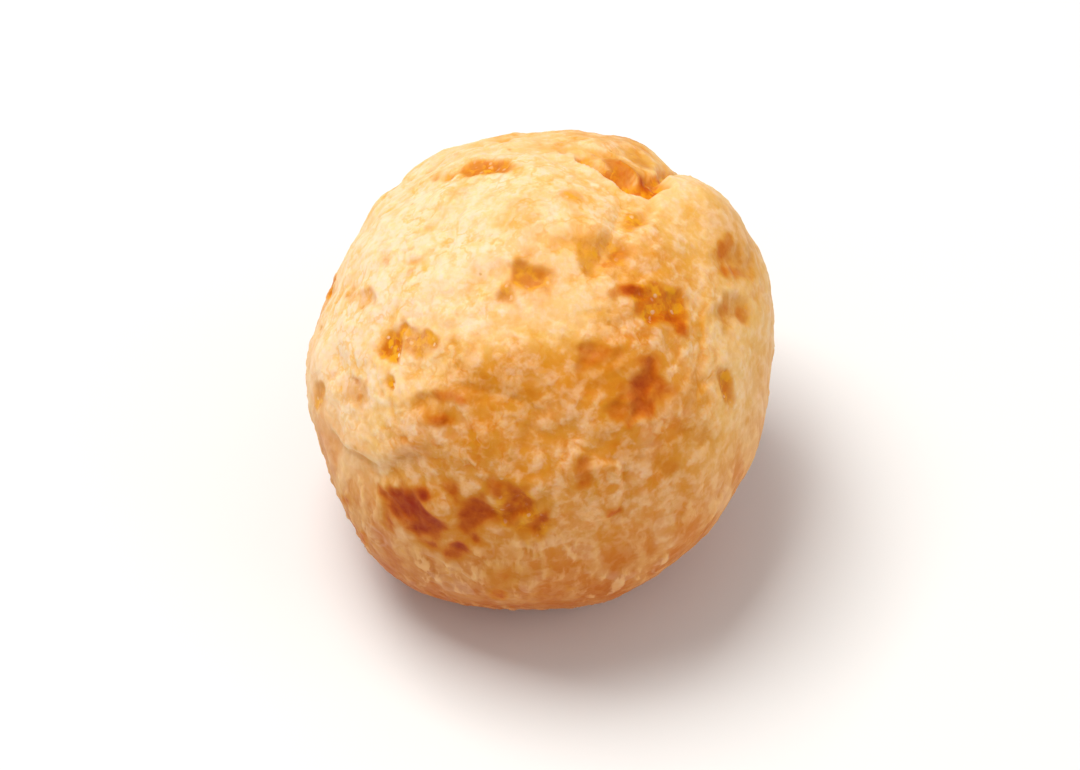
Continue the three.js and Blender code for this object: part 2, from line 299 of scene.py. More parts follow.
@dataclass(frozen=True)
class Tear:
    """A torn trough: a steep wall under the crust on its left, strands of dough, and a gentle wall.

    Each of its line's marks ends with the trough's half width and its depth. Its walls and its lip have
    their places in half widths to the left of the line.
    """

    line: Line
    gentle_wall: Span = (-3.0, -0.3)
    steep_wall: Span = (0.5, 1.3)
    lip: Bell = (1.4, 0.35)
    lip_rise: float = 0.12
    bare_from: Span = (-2.8, -1.9)  # where up its gentle wall the bare dough ends
    bare_depth: Span = (0.1, 0.8)  # how deep it has to be for the dough to show
    strand: float = 0.1  # how far the torn dough's strands stand out
    strand_pitch: float = 1.3
    strand_sway: float = 2.0
    sway_length: float = 2.3  # over how many mm the strands sway

    def at(self, way: np.ndarray, radius: float) -> tuple[np.ndarray, np.ndarray]:
        """Works out the tear.

        Args:
            way: unit vectors from the ball's centre.
            radius: the ball's radius.

        Returns:
            The rise at each way, and how bare the dough is there from 0 to 1.
        """
        side, beyond, inward, (half, deep) = self.line.near(way, radius)
        across = side / half
        ends = 1 - smooth(beyond, 0, 1)
        floor = ends * smooth(across, *self.gentle_wall) * (1 - smooth(across, *self.steep_wall))
        lip = ends * bell(across, *self.lip)
        sway = self.strand_sway * np.sin(inward / self.sway_length)
        strands = self.strand * np.sin(2 * math.pi * side / self.strand_pitch + sway)
        bare = floor * smooth(across, *self.bare_from) * smooth(deep, *self.bare_depth)
        return self.lip_rise * lip - (deep - strands) * floor, bare


@dataclass(frozen=True)
class Shelf:
    """A step where the crust on the line's left has slid out over the crust on its right."""

    line: Line
    rise: float  # how far its left stands out
    drop: float  # how far its right sinks in
    spread: float  # how far off it has died away
    edge: float  # how wide the step itself is
    fading: float = 4.0  # over how many mm it dies away at each end
    # the step's foot, where shade under it is painted, and its brim, pale partly as painted highlight on
    # its crest:
    foot_shade: Bell = (-1.2, 1.6)  # places and widths in edges, to the line's left
    dry_lit_brim: Bell = (0.9, 0.8)

    def at(self, way: np.ndarray, radius: float) -> tuple[np.ndarray, np.ndarray, np.ndarray]:
        """Works out the step.

        Args:
            way: unit vectors from the ball's centre.
            radius: the ball's radius.

        Returns:
            The rise at each way, and how near the step's foot (painted shade) and its brim (partly painted
            highlight) are, from 0 to 1.
        """
        side, beyond, inward, _ = self.line.near(way, radius)
        edges = side / self.edge
        turned = np.tanh(edges)
        there = smooth(inward, 0, self.fading) * bell(np.hypot(side, beyond), 0, self.spread)
        height = there * np.where(turned > 0, self.rise, self.drop) * turned
        return height, there * bell(edges, *self.foot_shade), there * bell(edges, *self.dry_lit_brim)


@dataclass(frozen=True)
class Puffs:
    """The rounded cells that the crown breaks up into, with creases between them."""

    seed: int = 23
    count: int = 120
    scatter: float = 0.7  # how far their middles stray, in half cells
    crease: float = 0.13  # how deep the creases are
    crease_width: float = 1.2
    crowning: float = 0.16  # how far the middles stand out

    def at(self, place: np.ndarray, radius: float, folded: np.ndarray) -> tuple[np.ndarray, np.ndarray]:
        """Works out the cells.

        Args:
            place: places on a ball of that radius, in mm.
            radius: the ball's radius.
            folded: how far the creases are drawn in at each place, from 0 to 1.

        Returns:
            The rise at each place, and how much of a crease is there from 0 to 1.
        """
        half = radius * math.sqrt(4 / self.count)
        dice = Dice(self.seed)
        first, second = np.full(len(place), np.inf), np.full(len(place), np.inf)
        for middle in evenly(self.count):
            shift = np.array([dice.roll() - 0.5, dice.roll() - 0.5, dice.roll() - 0.5])
            seed = unit(middle * radius + shift * 2 * half * self.scatter) * radius
            away = np.linalg.norm(place - seed, axis=1)
            second = np.where(away < first, first, np.minimum(second, away))
            first = np.minimum(first, away)
        crease = folded * bell(second - first, 0, self.crease_width)
        return self.crowning * (1 - (first / half) ** 2) - self.crease * crease, crease


@dataclass
class CrustForm:
    """The whole ball's form, from the same driving dimensions as its solid."""

    width: float = 49.6
    depth: float = 51.0
    crown_height: float = 24.9  # crown above the ball's centre
    centre_height: float = 20.6  # ball's centre above the base
    base_rounding: float = 1.8
    craggy: Span = (-8, 26)  # over which lifts the smooth side turns into the craggy crown
    uneven: Span = (-52, -30)  # and the even base into the uneven side
    swells: tuple[Swell, ...] = (
        Swell(125, 25, 10.0, 2.0),  # right shoulder
        Swell(108, 43, 6.5, 1.0),  # lobe beside the split
        Swell(119, 46, 4.0, 0.8),  # and its corner
        Swell(-40, -34, 9.0, 1.7),  # left heel
        Swell(-108, 18, 8.5, -1.3),  # left hollow
        Swell(-72, -16, 7.0, -0.9),  # left flank
        Swell(60, -20, 15.0, -0.7),  # right flank
        Swell(96, 4, 9.0, -0.5),  # right cheek
        Swell(-40, 80, 8.0, 0.55),  # brow over the long shelf
        Swell(-42, 25, 5.5, 0.6),  # cheek over the left ledge
        Swell(-8, 42, 5.5, -0.5),  # hollow under the bulge
        Swell(196, 38, 8.0, 0.6),  # back lobe
        Swell(204, 60, 6.5, -0.5),  # back hollow
        Swell(151, 40, 5.0, 1.5),  # flap behind the split
        Swell(139, 29, 4.5, -1.7),  # dip between it and the shoulder
        Swell(137, 47, 4.0, -1.2),  # and between it and the lobe
        Swell(170, 38, 6.0, -0.5),  # dip beside the flap
    )
    # bearing, lift, half sizes, turn, how bare and how toasted it is
    front_pits: tuple[Pit, ...] = (
        Pit(-55, 42, 2.8, 1.7, -55, 1.1, 0.0, depth=0.55, spread=0.72),  # left window
        Pit(-46, 48, 2.3, 1.4, 31, 0.7, 0.1, depth=0.35, spread=0.9),  # and its pane
        Pit(-11, 72.5, 1.9, 1.5, 36, 0.75, 0.5, depth=0.5),  # pit under the long shelf
        Pit(55, 72.5, 2.7, 2.3, -48, 0.6, 0.1, depth=0.5),  # round saucer
        Pit(56, 54.5, 3.4, 2.2, -58, 0.95, 0.65, depth=0.55),  # right window
        Pit(34, 42, 2.6, 2.3, 43, 0.3, 1.1, depth=0.4),  # toasted dip
        Pit(21, 53, 2.4, 1.5, -30, 0.25, 0.8),  # its upper arm
        Pit(25, 38, 2.1, 0.9, -10, 0.1, 0.75),  # its lower arm
        Pit(-32, 7.5, 3.5, 2.8, -20, 0.1, 1.4, depth=0.3, faded=1.6),  # burnt patch
        Pit(-20, 0, 1.3, 1.0, 62, 0.0, 1.45, depth=0.2),  # its dot
        Pit(-16, 13, 2.8, 2.0, 78, 0.1, 1.15, depth=0.25, faded=1.6),  # toasted streaks
        Pit(-5, 16.5, 3.1, 1.8, -58, 0.85, 0.95, depth=0.45, faded=1.7),  # amber patch
        Pit(-34, 37, 1.8, 1.3, 42, 0.3, 0.45, depth=0.4),  # pit on the cheek
        Pit(-71, 15, 1.5, 1.1, 63, 0.7, 0.3, depth=0.35),  # left edge pit
        Pit(-58, 27, 2.1, 1.6, 47, 0.45, 0.35, depth=0.25),  # left mottled pit
        Pit(-76, 43, 1.9, 1.2, 25, 0.4, 0.2, depth=0.4),  # upper left dimple
        Pit(95, 39, 3.2, 1.6, -58, 0.3, 0.45, depth=0.4),  # right upper dimple
        Pit(79, 36, 3.2, 1.7, -37, 0.25, 0.4, depth=0.35),  # right lower dimple
        Pit(61, 27, 1.8, 1.0, -88, 0.8, 0.6, depth=0.4),  # right slit
        Pit(44, 22, 3.2, 1.7, -29, 0.15, 0.35, depth=0.25),  # right mottled patch
        Pit(11, 26, 1.5, 1.1, 85, 0.0, 0.8, depth=0.2),  # spot by the loose plate
        Pit(-147, 66, 3.4, 1.3, -52, 0.8, 0.45, depth=0.6),  # top slit
        Pit(-144, 49, 2.1, 1.3, -78, 0.35, 0.0, depth=0.2),  # far top slit
        Pit(-166, 52, 1.9, 0.9, -82, 0.3, 0.15, depth=0.2),  # top hollow
        Pit(169, 61, 2.1, 0.7, -70, 0.5, 0.2, depth=0.3),  # top notch
    )
    front_stains: tuple[Stain, ...] = (
        # the browned brow is darker golden partly as browner crust and partly as painted shade in the
        # hollow under the bulge
        Stain(-5, 42, 5.0, 3.4, 7, 0.15, 0.35),  # browned brow
        Stain(-19, 44, 1.8, 1.6, 9, 0.3, 0.6),
        Stain(28, 47, 3.6, 1.8, -49, 0.1, 0.55),  # round the toasted dip
        Stain(18, 46, 2.1, 0.7, -14, 0.0, 0.55),
        Stain(49, 32, 3.2, 2.5, -42, 0.3, 0.3),
        Stain(34, 19, 2.3, 0.9, -46, 0.0, 0.55),
        Stain(17, 33, 1.4, 0.9, -26, 0.3, 0.4),
        Stain(-28, 34.5, 1.6, 0.7, 20, 0.0, 0.9),  # beside the pit on the cheek
        Stain(-29, 40, 1.7, 0.7, 10, 0.2, 0.85),
        Stain(-60, 28, 0.6, 0.4, 20, 0.3, 0.6),  # in the left mottled pit
        Stain(-56, 26, 0.7, 0.4, 60, 0.2, 0.7),
        Stain(96, 42, 1.7, 0.9, -40, 0.15, 0.8),  # in the right upper dimple
        Stain(91, 38.5, 1.9, 0.8, -60, 0.3, 0.8),
        Stain(78, 37.5, 1.5, 0.8, -60, 0.15, 0.75),  # in the right lower dimple
        Stain(82, 31.5, 1.5, 0.9, -20, 0.25, 0.75),
        Stain(-86, 50, 1.5, 0.8, 9, 0.45, 0.0),  # golden flecks over the left of the crown
        Stain(-73, 56, 1.6, 0.7, -85, 0.4, 0.1),
        Stain(-120, 66, 1.5, 0.9, 75, 0.4, 0.0),
        Stain(-97, 63, 1.3, 0.9, -4, 0.35, 0.0),
        Stain(-38, 68, 1.4, 0.6, 46, 0.4, 0.0),
        Stain(-86, 35, 1.5, 0.8, 33, 0.5, 0.0),
        Stain(-86, 87, 2.2, 2.0, 55, 0.35, 0.2),
        Stain(120, 82, 1.1, 0.9, 27, 0.6, 0.3),
        Stain(96, 67, 1.6, 0.9, -36, 0.8, 0.3),  # in the crease
        Stain(18, 12, 1.0, 0.7, -12, 0.0, 1.0),  # low spots
        Stain(-29, 13.5, 1.4, 1.0, -10, 0.0, 1.35),  # upper end of the burnt patch
        Stain(-22, 18.5, 1.3, 0.8, -40, 0.0, 0.95),  # over the toasted streaks
        Stain(-11, 20.5, 1.5, 0.9, -50, 0.1, 0.95),  # over the amber patch
        Stain(1, 14, 1.6, 0.6, 60, 0.0, 1.1),  # and its lower edge
        Stain(-8, -7, 2.1, 1.8, -84, 0.0, 0.75),
        Stain(-10, -15, 1.3, 0.9, 60, 0.0, 0.9),
        Stain(-54, -7, 2.2, 0.8, 50, 0.0, 0.85),
        Stain(-49, -17, 2.2, 0.9, 66, 0.0, 0.95),
        Stain(52, 60.5, 2.4, 0.7, -40, 0.0, 1.1),  # over the right window
        Stain(56, 50.5, 2.3, 0.7, -40, 0.1, 1.05),  # and under it
        Stain(58, 46, 1.2, 0.9, -40, 0.0, 0.95),
        Stain(54, 73, 1.8, 1.3, -48, 0.75, 0.1),  # floor of the saucer
        Stain(64, 69, 1.2, 0.8, -40, 0.2, 0.85),  # and its right end
        Stain(-55, 43.5, 0.9, 0.5, -60, 0.8, 0.5),  # in the left window
        Stain(144, 32.5, 3.6, 1.1, 37, 0.0, 1.1),  # toasted edge of the flap behind the split
        Stain(134, 27.5, 3.0, 0.9, 12, 0.0, 0.8),  # top of the shoulder
        Stain(138, 57.5, 2.4, 0.9, 4, 0.3, 0.9),  # in the split
        Stain(129, 56, 1.4, 0.9, 0, 0.1, 1.15),
        Stain(143, 49, 1.8, 1.1, 20, 0.6, 0.35),  # on the flap
    )
    back_pits: int = 13
    pit_seed: int = 41
    back_stains: int = 28
    stain_seed: int = 47
    back_bearings: tuple[float, float] = (98, 262)
    back_lowest: float = -22  # how low the back's pits and stains reach
    back_slope: float = 0.78  # how steeply their upper limit rises from the sides to the middle
    tears: tuple[Tear, ...] = (
        Tear(  # split over the right shoulder
            Line(
                (
                    (134, 27, 0.4, 0.3),
                    (135, 34, 0.6, 0.7),
                    (133, 43, 0.7, 1.1),
                    (128, 51, 0.8, 1.5),
                    (120, 58, 1.2, 1.9),
                    (123, 61.5, 1.6, 2.0),
                    (132, 63.5, 1.6, 1.9),
                    (142, 64.5, 1.4, 1.6),
                    (152, 64.5, 1.0, 1.0),
                    (159, 63, 0.5, 0.3),
                )
            )
        ),
        Tear(  # split down the back
            Line(
                (
                    (-178, 33, 0.6, 0.4),
                    (-168, 30, 1.2, 1.2),
                    (-158, 23, 1.6, 1.7),
                    (-160, 13, 1.4, 1.4),
                    (-150, 4, 0.6, 0.4),
                )
            )
        ),
    )
    shelves: tuple[Shelf, ...] = (
        Shelf(  # long shelf
            Line(((-53, 58), (-49, 65), (-40, 71), (-26, 75), (-4, 79), (38, 80), (66, 75), (86, 69))),
            rise=0.45,
            drop=0.65,
            spread=7.5,
            edge=1.3,
        ),
        Shelf(  # crease below the split
            Line(((123, 53), (119, 58), (110, 61), (98, 65), (86, 67), (76, 66))),
            rise=0.45,
            drop=0.35,
            spread=3.0,
            edge=0.5,
        ),
        Shelf(  # left ledge
            Line(((-66, 6), (-59, 11), (-47, 14), (-41, 16.5), (-37, 20.5), (-31, 26), (-24, 26.5))),
            rise=0.35,
            drop=0.4,
            spread=2.6,
            edge=0.4,
        ),
        Shelf(  # loose plate low on the front
            Line(((8, 12), (15, 11), (20, 14), (22, 20), (21, 26), (15, 29), (9, 26))),
            rise=0.25,
            drop=0.25,
            spread=1.8,
            edge=0.25,
        ),
        Shelf(  # back ledge
            Line(((118, 6), (134, 12), (150, 9), (166, 16), (182, 13))),
            rise=0.35,
            drop=0.45,
            spread=3.2,
            edge=0.6,
        ),
        Shelf(  # back left ledge
            Line(((-100, 4), (-112, 10), (-126, 8), (-138, 15))),
            rise=0.25,
            drop=0.35,
            spread=2.8,
            edge=0.5,
        ),
    )
    # how browned the crust is, from below 0 where it stays pale
    brownings: tuple[Swell, ...] = (
        # darker golden under the bulge, partly browner crust and partly painted shade in the hollow below
        # it
        Swell(-8, 42, 6.0, 1.0),  # under the bulge
        Swell(30, 40, 7.0, 0.8),  # round the toasted dip
        Swell(8, 27, 11.0, 1.0),  # front
        Swell(46, 26, 7.0, 0.05),  # front right
        Swell(-34, 24, 8.0, 0.5),  # front left
        Swell(-12, 60, 6.5, -0.2),  # pale bulge
        Swell(118, 20, 6.0, 0.3),  # shoulder
        Swell(170, 30, 10.0, 0.5),  # back
        Swell(-120, 20, 8.0, 0.4),  # back left
        Swell(-95, 48, 13.0, -0.9),  # pale upper left
        Swell(0, 84, 8.0, -0.2),  # pale crown
        Swell(80, 54, 5.0, 0.25),  # under the lobe
        Swell(122, 48, 4.0, -0.3),  # pale top of the lobe
        Swell(104, 38, 6.0, 0.45),  # its side
        Swell(142, 48, 5.0, 0.35),  # flap
        Swell(58, 62, 6.0, 0.45),  # over the right window
        Swell(80, 14, 9.0, 0.3),  # right side
        Swell(16, 58, 5.0, -0.15),  # right of the pale bulge
        Swell(-64, 30, 7.0, -0.75),  # pale left
        # the low front is darker partly as browner crust and partly as painted shade, where the light
        # falls off down the front
        Swell(0, 10, 9.0, 0.7),  # low front
        Swell(-14, 17, 4.0, 0.6),  # between the burnt and the amber patch
        # the low right and low left are darker partly as browner crust and partly as painted shade near
        # the base
        Swell(37, 0, 6.0, 0.5),  # low right
        Swell(-13, -5, 5.0, 0.6),  # low left
    )
    # a ripple's seed, its pitch and its height
    lumps: tuple[Ripple, ...] = (Ripple(3, 27, 0.24), Ripple(8, 14, 0.17))
    # where the crust is drawn smooth
    calms: tuple[Swell, ...] = (
        Swell(104, 42, 8.0, 0.85),  # lobe
        Swell(10, 62, 5.5, 0.6),  # bulge under the long shelf
        Swell(72, 12, 9.0, 0.6),  # right side
        Swell(20, -2, 8.0, 0.4),  # low front
    )
    crags: Ripple = Ripple(15, 6.5, 0.11)
    billows: tuple[Ripple, ...] = (Ripple(71, 8.5, 0.12), Ripple(74, 4.2, 0.05))
    billow_evening: float = 0.8  # how far billows are let down, in heights, to keep the ball's size
    folds: Ripple = Ripple(83, 9.0)
    folded: Span = (-0.5, 0.9)  # where in the folds the puffs' creases are drawn in
    puffs: Puffs = Puffs()
    warp_seed: int = 31  # how the puffs and billows are moved about
    warp_pitch: float = 11
    warp_reach: float = 1.5
    fray_seed: int = 91  # and the shelves' and the tears' lines
    fray_pitch: float = 3.8
    fray_reach: float = 0.4
    pit_wobbles: tuple[Ripple, ...] = (Ripple(57, 4.0, 0.18), Ripple(61, 1.8, 0.1))
    rim: Bell = (0.95, 0.4)  # a pit's rim, toasted partly as its baked edge and partly as painted shade, in shares of its size
    rim_shade_lean: float = 0.3  # how far round to its lower edge the rim's painted shade reaches from its upper wall
    window: Span = (0.7, 1.65)  # over which shares the bare cheese gives way to crust
    pit_toasted: float = 0.4  # from which share a pit's toasting fades
    stain_faded: float = 0.2  # and a stain's

    @property
    def radius(self) -> float:
        """Returns the mean radius, which arcs on the crust are measured with."""
        return (self.width + self.depth) / 4

    def back_place(self, i: int, dice: Dice) -> tuple[float, float]:
        """Spreads pits and stains over the back, below the crown.

        Args:
            i: which one in the row.
            dice: the dice that settle its place.

        Returns:
            Its bearing and its lift.
        """
        first, last = self.back_bearings
        bearing = first + (last - first) * ((i * GOLDEN_SHARE + 0.1 * dice.roll()) % 1)
        highest = math.degrees(math.atan(-self.back_slope * math.cos(math.radians(bearing))))
        return bearing, dice.between(self.back_lowest, highest)

    @cached_property
    def pits(self) -> tuple[Pit, ...]:
        """Gathers the front's pits, and more of the same kind spread over the back.

        Returns:
            All the pits.
        """
        dice = Dice(self.pit_seed)
        back = tuple(
            Pit(
                *self.back_place(i, dice),
                across=dice.between(0.9, 2.7),
                along=dice.between(0.9, 1.9),
                turn=dice.between(-50, 50),
                depth=dice.between(0.3, 0.85),
                window=0.1 * (i * 3 % 10),
                toast=0.3 + 0.06 * (i * 7 % 11),
            )
            for i in range(self.back_pits)
        )
        return self.front_pits + back

    @cached_property
    def stains(self) -> tuple[Stain, ...]:
        """Gathers the front's stains, and more of the same kind spread over the back.

        Returns:
            All the stains.
        """
        dice = Dice(self.stain_seed)
        back = tuple(
            Stain(
                *self.back_place(i, dice),
                across=dice.between(0.8, 3.2),
                along=dice.between(0.6, 1.8),
                turn=dice.between(-80, 80),
                window=0.2 * (i % 5),
                toast=0.85 - 0.2 * (i % 5),
            )
            for i in range(self.back_stains)
        )
        return self.front_stains + back

    def shifted(self, place: np.ndarray, seed: int, pitch: float, reach: float) -> np.ndarray:
        """Moves places about over the ball, so that lines and cells there don't run too straight.

        Args:
            place: places on the ball, in mm.
            seed: which unevenness to use.
            pitch: its pitch.
            reach: how far it moves them.

        Returns:
            The moved places, still on the ball.
        """
        moves = [Ripple(seed + i, pitch, reach).at(place) for i in range(3)]
        return unit(place + np.stack(moves, axis=1)) * self.radius

    def crags_at(self, place: np.ndarray, craggy: np.ndarray) -> tuple[np.ndarray, np.ndarray]:
        """Works out the craggy crown.

        Args:
            place: places on the ball, in mm.
            craggy: how craggy the crust is at each place, from 0 to 1.

        Returns:
            The rise at each place, and how much of a crease is there from 0 to 1.
        """
        bent = self.shifted(place, self.warp_seed, self.warp_pitch, self.warp_reach)
        folded = smooth(self.folds.at(place), *self.folded)
        puffed, crease = self.puffs.at(bent, self.radius, folded)
        evening = self.billow_evening
        billowed = sum(np.abs(billow.at(bent)) - evening * billow.height for billow in self.billows)
        return craggy * (puffed + self.crags.at(place) + billowed), craggy * crease

    def break_up(self, way: np.ndarray, rise: np.ndarray, marks: dict[str, np.ndarray]) -> None:
        """Adds the shelves and the tears.

        Args:
            way: unit vectors from the ball's centre, frayed.
            rise: the rise at each way, which is changed.
            marks: the crust's marks, of which foot (painted shade), brim (partly painted highlight) and
                tear are raised.
        """
        for shelf in self.shelves:
            step, foot_shade, dry_lit_brim = shelf.at(way, self.radius)
            rise += step
            marks["foot_shade"] = np.maximum(marks["foot_shade"], foot_shade)
            marks["dry_lit_brim"] = np.maximum(marks["dry_lit_brim"], dry_lit_brim)
        for tear in self.tears:
            step, there = tear.at(way, self.radius)
            rise += step
            marks["tear"] = np.maximum(marks["tear"], there)

    def bake(self, way: np.ndarray, rise: np.ndarray, marks: dict[str, np.ndarray]) -> None:
        """Adds the pits and the stains.

        Args:
            way: unit vectors from the ball's centre.
            rise: the rise at each way, which is changed.
            marks: the crust's marks, of which pit, toast and rim are raised.
        """
        wobble = sum(ripple.at(way * self.radius) for ripple in self.pit_wobbles)
        for pit in self.pits:
            share, up = pit.share(way, self.radius)
            share = share + wobble
            rise += pit.at(share)
            # the rim is strongest on the pit's upper wall, which faces away from the light: painted shade
            rim = bell(share, *self.rim) * np.clip(self.rim_shade_lean + up, 0, 1)
            marks["rim"] = np.maximum(marks["rim"], rim * pit.window)
            bare = 1 - smooth(share / pit.spread, *self.window)
            marks["pit"] = np.maximum(marks["pit"], bare * pit.window)
            toasted = 1 - smooth(share, self.pit_toasted, pit.faded)
            marks["toast"] = np.maximum(marks["toast"], toasted * pit.toast)
        for stain in self.stains:
            share = stain.share(way, self.radius)[0] + wobble
            there = 1 - smooth(share, self.stain_faded, stain.faded)
            marks["pit"] = np.maximum(marks["pit"], there * stain.window)
            marks["toast"] = np.maximum(marks["toast"], there * stain.toast)

    def stand(self, point: np.ndarray) -> np.ndarray:
        """Sets the crust's points down on the flat base, with its edge rounded.

        Args:
            point: the points in mm, from the ball's centre.

        Returns:
            The points from the middle of the base.
        """
        z = point[:, 2] + self.centre_height
        soft = self.base_rounding
        near = (np.clip(z, -soft, soft) + soft) ** 2 / (4 * soft)
        return np.column_stack([point[:, :2], np.where(z < soft, near, z)])

    def shape(self, way: np.ndarray) -> tuple[np.ndarray, dict[str, np.ndarray]]:
        """Works out the crust's points.

        Args:
            way: unit vectors from the ball's centre.

        Returns:
            The points in mm, standing on the base, and the crust's marks, each from 0 to 1: pit, toast,
            rim (partly painted shade), tear, foot (painted shade), brim (partly painted highlight), crease
            (where shade is painted too) and calm. Browned is from -1 where the crust is pale to 1, and
            lift from -1 at the base to 1 at the crown.
        """
        place = way * self.radius
        lift = np.degrees(np.arcsin(np.clip(way[:, 2], -1, 1)))
        calm = np.clip(sum(spot.at(way, self.radius) for spot in self.calms), 0, 1)
        marks = {name: np.zeros(len(way)) for name in ("pit", "toast", "rim", "tear", "foot_shade", "dry_lit_brim")}
        marks["lift"] = lift / 90
        marks["calm"] = calm
        marks["browned"] = np.clip(sum(spot.at(way, self.radius) for spot in self.brownings), -1, 1)

        rise = sum(lump.at(place) for lump in self.lumps)
        rise = rise + sum(swell.at(way, self.radius) for swell in self.swells)
        crags, marks["crease"] = self.crags_at(place, smooth(lift, *self.craggy) * (1 - calm))
        rise += crags
        frayed = self.shifted(place, self.fray_seed, self.fray_pitch, self.fray_reach)
        self.break_up(frayed / self.radius, rise, marks)
        self.bake(way, rise, marks)

        halves = np.array([self.width / 2, self.depth / 2, self.crown_height])
        plain = 1 / np.linalg.norm(way / halves, axis=1)
        uneven = smooth(lift, *self.uneven)
        return self.stand(way * (plain + uneven * rise)[:, None]), marks


def cube_grid(squares: int) -> tuple[np.ndarray, np.ndarray]:
    """Makes a cube's surface as a grid of squares, with each shared corner kept once.

    Args:
        squares: how many squares along each edge.

    Returns:
        The corners as unit vectors, and the squares' corner numbers, facing out.
    """
    steps = np.arange(squares + 1)
    a, b = (g.ravel() for g in np.meshgrid(steps, steps, indexing="ij"))
    i, j = (g.ravel() for g in np.meshgrid(steps[:-1], steps[:-1], indexing="ij"))
    wide = squares + 1
    loop = np.stack([i * wide + j, (i + 1) * wide + j, (i + 1) * wide + j + 1, i * wide + j + 1], axis=1)
    corners, quads = [], []
    for axis in range(3):
        for far in (0, squares):
            side = np.empty((len(a), 3), int)
            side[:, axis] = far
            side[:, (axis + 1) % 3] = a
            side[:, (axis + 2) % 3] = b
            quads.append((loop if far else loop[:, ::-1]) + len(a) * len(corners))
            corners.append(side)
    kept, number = np.unique(np.concatenate(corners), axis=0, return_inverse=True)
    even = np.tan((2 * kept / squares - 1) * math.pi / 4)
    return unit(even), number.reshape(-1)[np.concatenate(quads)]


# ---------------------------------------------------------------- laying out node trees

Socket = bpy.types.NodeSocket
Value = Socket | float | int | bool | str | tuple[float, ...] | bpy.types.Material


class Cells(Enum):
    """What a pattern of cells is measured by."""

    MIDDLES = "F1"
    SOFT_MIDDLES = "SMOOTH_F1"
    BORDERS = "DISTANCE_TO_EDGE"


class Blend(Enum):
    """How one colour is laid over another."""

    COVER = "MIX"
    DEEPEN = "MULTIPLY"


class Bench:
    """A node tree being laid out: each call adds a node and returns what comes out of it."""

    def __init__(self, tree: bpy.types.NodeTree) -> None:
        """Starts on a tree.

        Args:
            tree: the tree that the nodes are added to.
        """
        self.tree = tree

    def node(self, kind: str, inputs: dict[str | int, Value], **settings: object) -> bpy.types.Node:
        """Adds one node.

        Args:
            kind: Blender's name for the node.
            inputs: what goes into each socket, by its name or number.
            settings: the node's own settings.

        Returns:
            The node.
        """
        node = self.tree.nodes.new(kind)
        for name, setting in settings.items():
            setattr(node, name, setting)
        for name, value in inputs.items():
            if isinstance(value, bpy.types.NodeSocket):
                self.tree.links.new(value, node.inputs[name])
            else:
                node.inputs[name].default_value = value
        return node

    def math(self, operation: str, *values: Value) -> Socket:
        """Returns one sum of up to three values."""
        return self.node("ShaderNodeMath", dict(enumerate(values)), operation=operation).outputs[0]

    def times(self, *values: Value) -> Socket:
        """Multiplies values.

        Args:
            values: two or more of them.

        Returns:
            Their product.
        """
        total = values[0]
        for value in values[1:]:
            total = self.math("MULTIPLY", total, value)
        return total

    def plus(self, *values: Value) -> Socket:
        """Adds values.

        Args:
            values: two or more of them.

        Returns:
            Their sum.
        """
        total = values[0]
        for value in values[1:]:
            total = self.math("ADD", total, value)
        return total

    def inverse(self, value: Value) -> Socket:
        """Returns 1 less the value."""
        return self.math("SUBTRACT", 1.0, value)

    def ramp(self, value: Value, low: float, high: float, start: float = 0.0, end: float = 1.0) -> Socket:
        """Returns a soft step from start to end as the value goes from low to high."""
        inputs = {0: value, 1: low, 2: high, 3: start, 4: end}
        return self.node("ShaderNodeMapRange", inputs, interpolation_type="SMOOTHSTEP").outputs[0]

    def mix(self, share: Value, first: Value, second: Value) -> Socket:
        """Returns a mix of two numbers."""
        return self.node("ShaderNodeMix", {0: share, 2: first, 3: second}, data_type="FLOAT").outputs[0]

    def stirred(self, base: Value, value: Value, strength: float) -> Socket:
        """Returns the base, raised by how far the value is above one half, times a strength."""
        return self.math("MULTIPLY_ADD", self.math("SUBTRACT", value, 0.5), strength, base)

    def beside(self, value: Value, middle: float) -> Socket:
        """Returns how far the value is from a middle, on either side of it."""
        return self.math("ABSOLUTE", self.math("SUBTRACT", value, middle))

    def rolls(self, cells: bpy.types.Node) -> bpy.types.NodeOutputs:
        """Returns three random numbers from 0 to 1 that are the same all over each cell."""
        return self.node("ShaderNodeSeparateXYZ", {0: cells.outputs["Color"]}).outputs

    def scaled(self, vector: Value, by: tuple[float, float, float]) -> Socket:
        """Returns a vector scaled along each axis."""
        return self.node("ShaderNodeVectorMath", {0: vector, 1: by}, operation="MULTIPLY").outputs[0]

    def moved(self, vector: Value, by: Value) -> Socket:
        """Returns the sum of two vectors."""
        return self.node("ShaderNodeVectorMath", {0: vector, 1: by}, operation="ADD").outputs[0]

    def noise(self, place: Value, pitch: float, detail: float = 2.0, rough: float = 0.5) -> bpy.types.Node:
        """Adds cloudy noise.

        Args:
            place: where on the crust.
            pitch: the size of its largest clouds, in mm.
            detail: how many times it doubles into finer clouds.
            rough: how strong each finer one is.

        Returns:
            The noise node.
        """
        inputs = {"Vector": place, "Scale": 1 / (pitch * METRES), "Detail": detail, "Roughness": rough}
        return self.node("ShaderNodeTexNoise", inputs)

    def cells(
        self, place: Value, pitch: float, measure: Cells = Cells.MIDDLES, loose: float = 1.0
    ) -> bpy.types.Node:
        """Adds a pattern of cells.

        Args:
            place: where on the crust.
            pitch: the size of a cell, in mm.
            measure: what its distances are measured from.
            loose: how unevenly the cells are spread, from 0 to 1.

        Returns:
            The Voronoi node.
        """
        inputs = {"Vector": place, "Scale": 1 / (pitch * METRES), "Randomness": loose}
        return self.node("ShaderNodeTexVoronoi", inputs, feature=measure.value)

    def mark(self, name: str) -> Socket:
        """Returns one of the crust's marks, a number that its mesh carries."""
        raise NotImplementedError

    def place(self) -> Socket:
        """Returns where on the smooth ball each point of the crust came from."""
        raise NotImplementedError


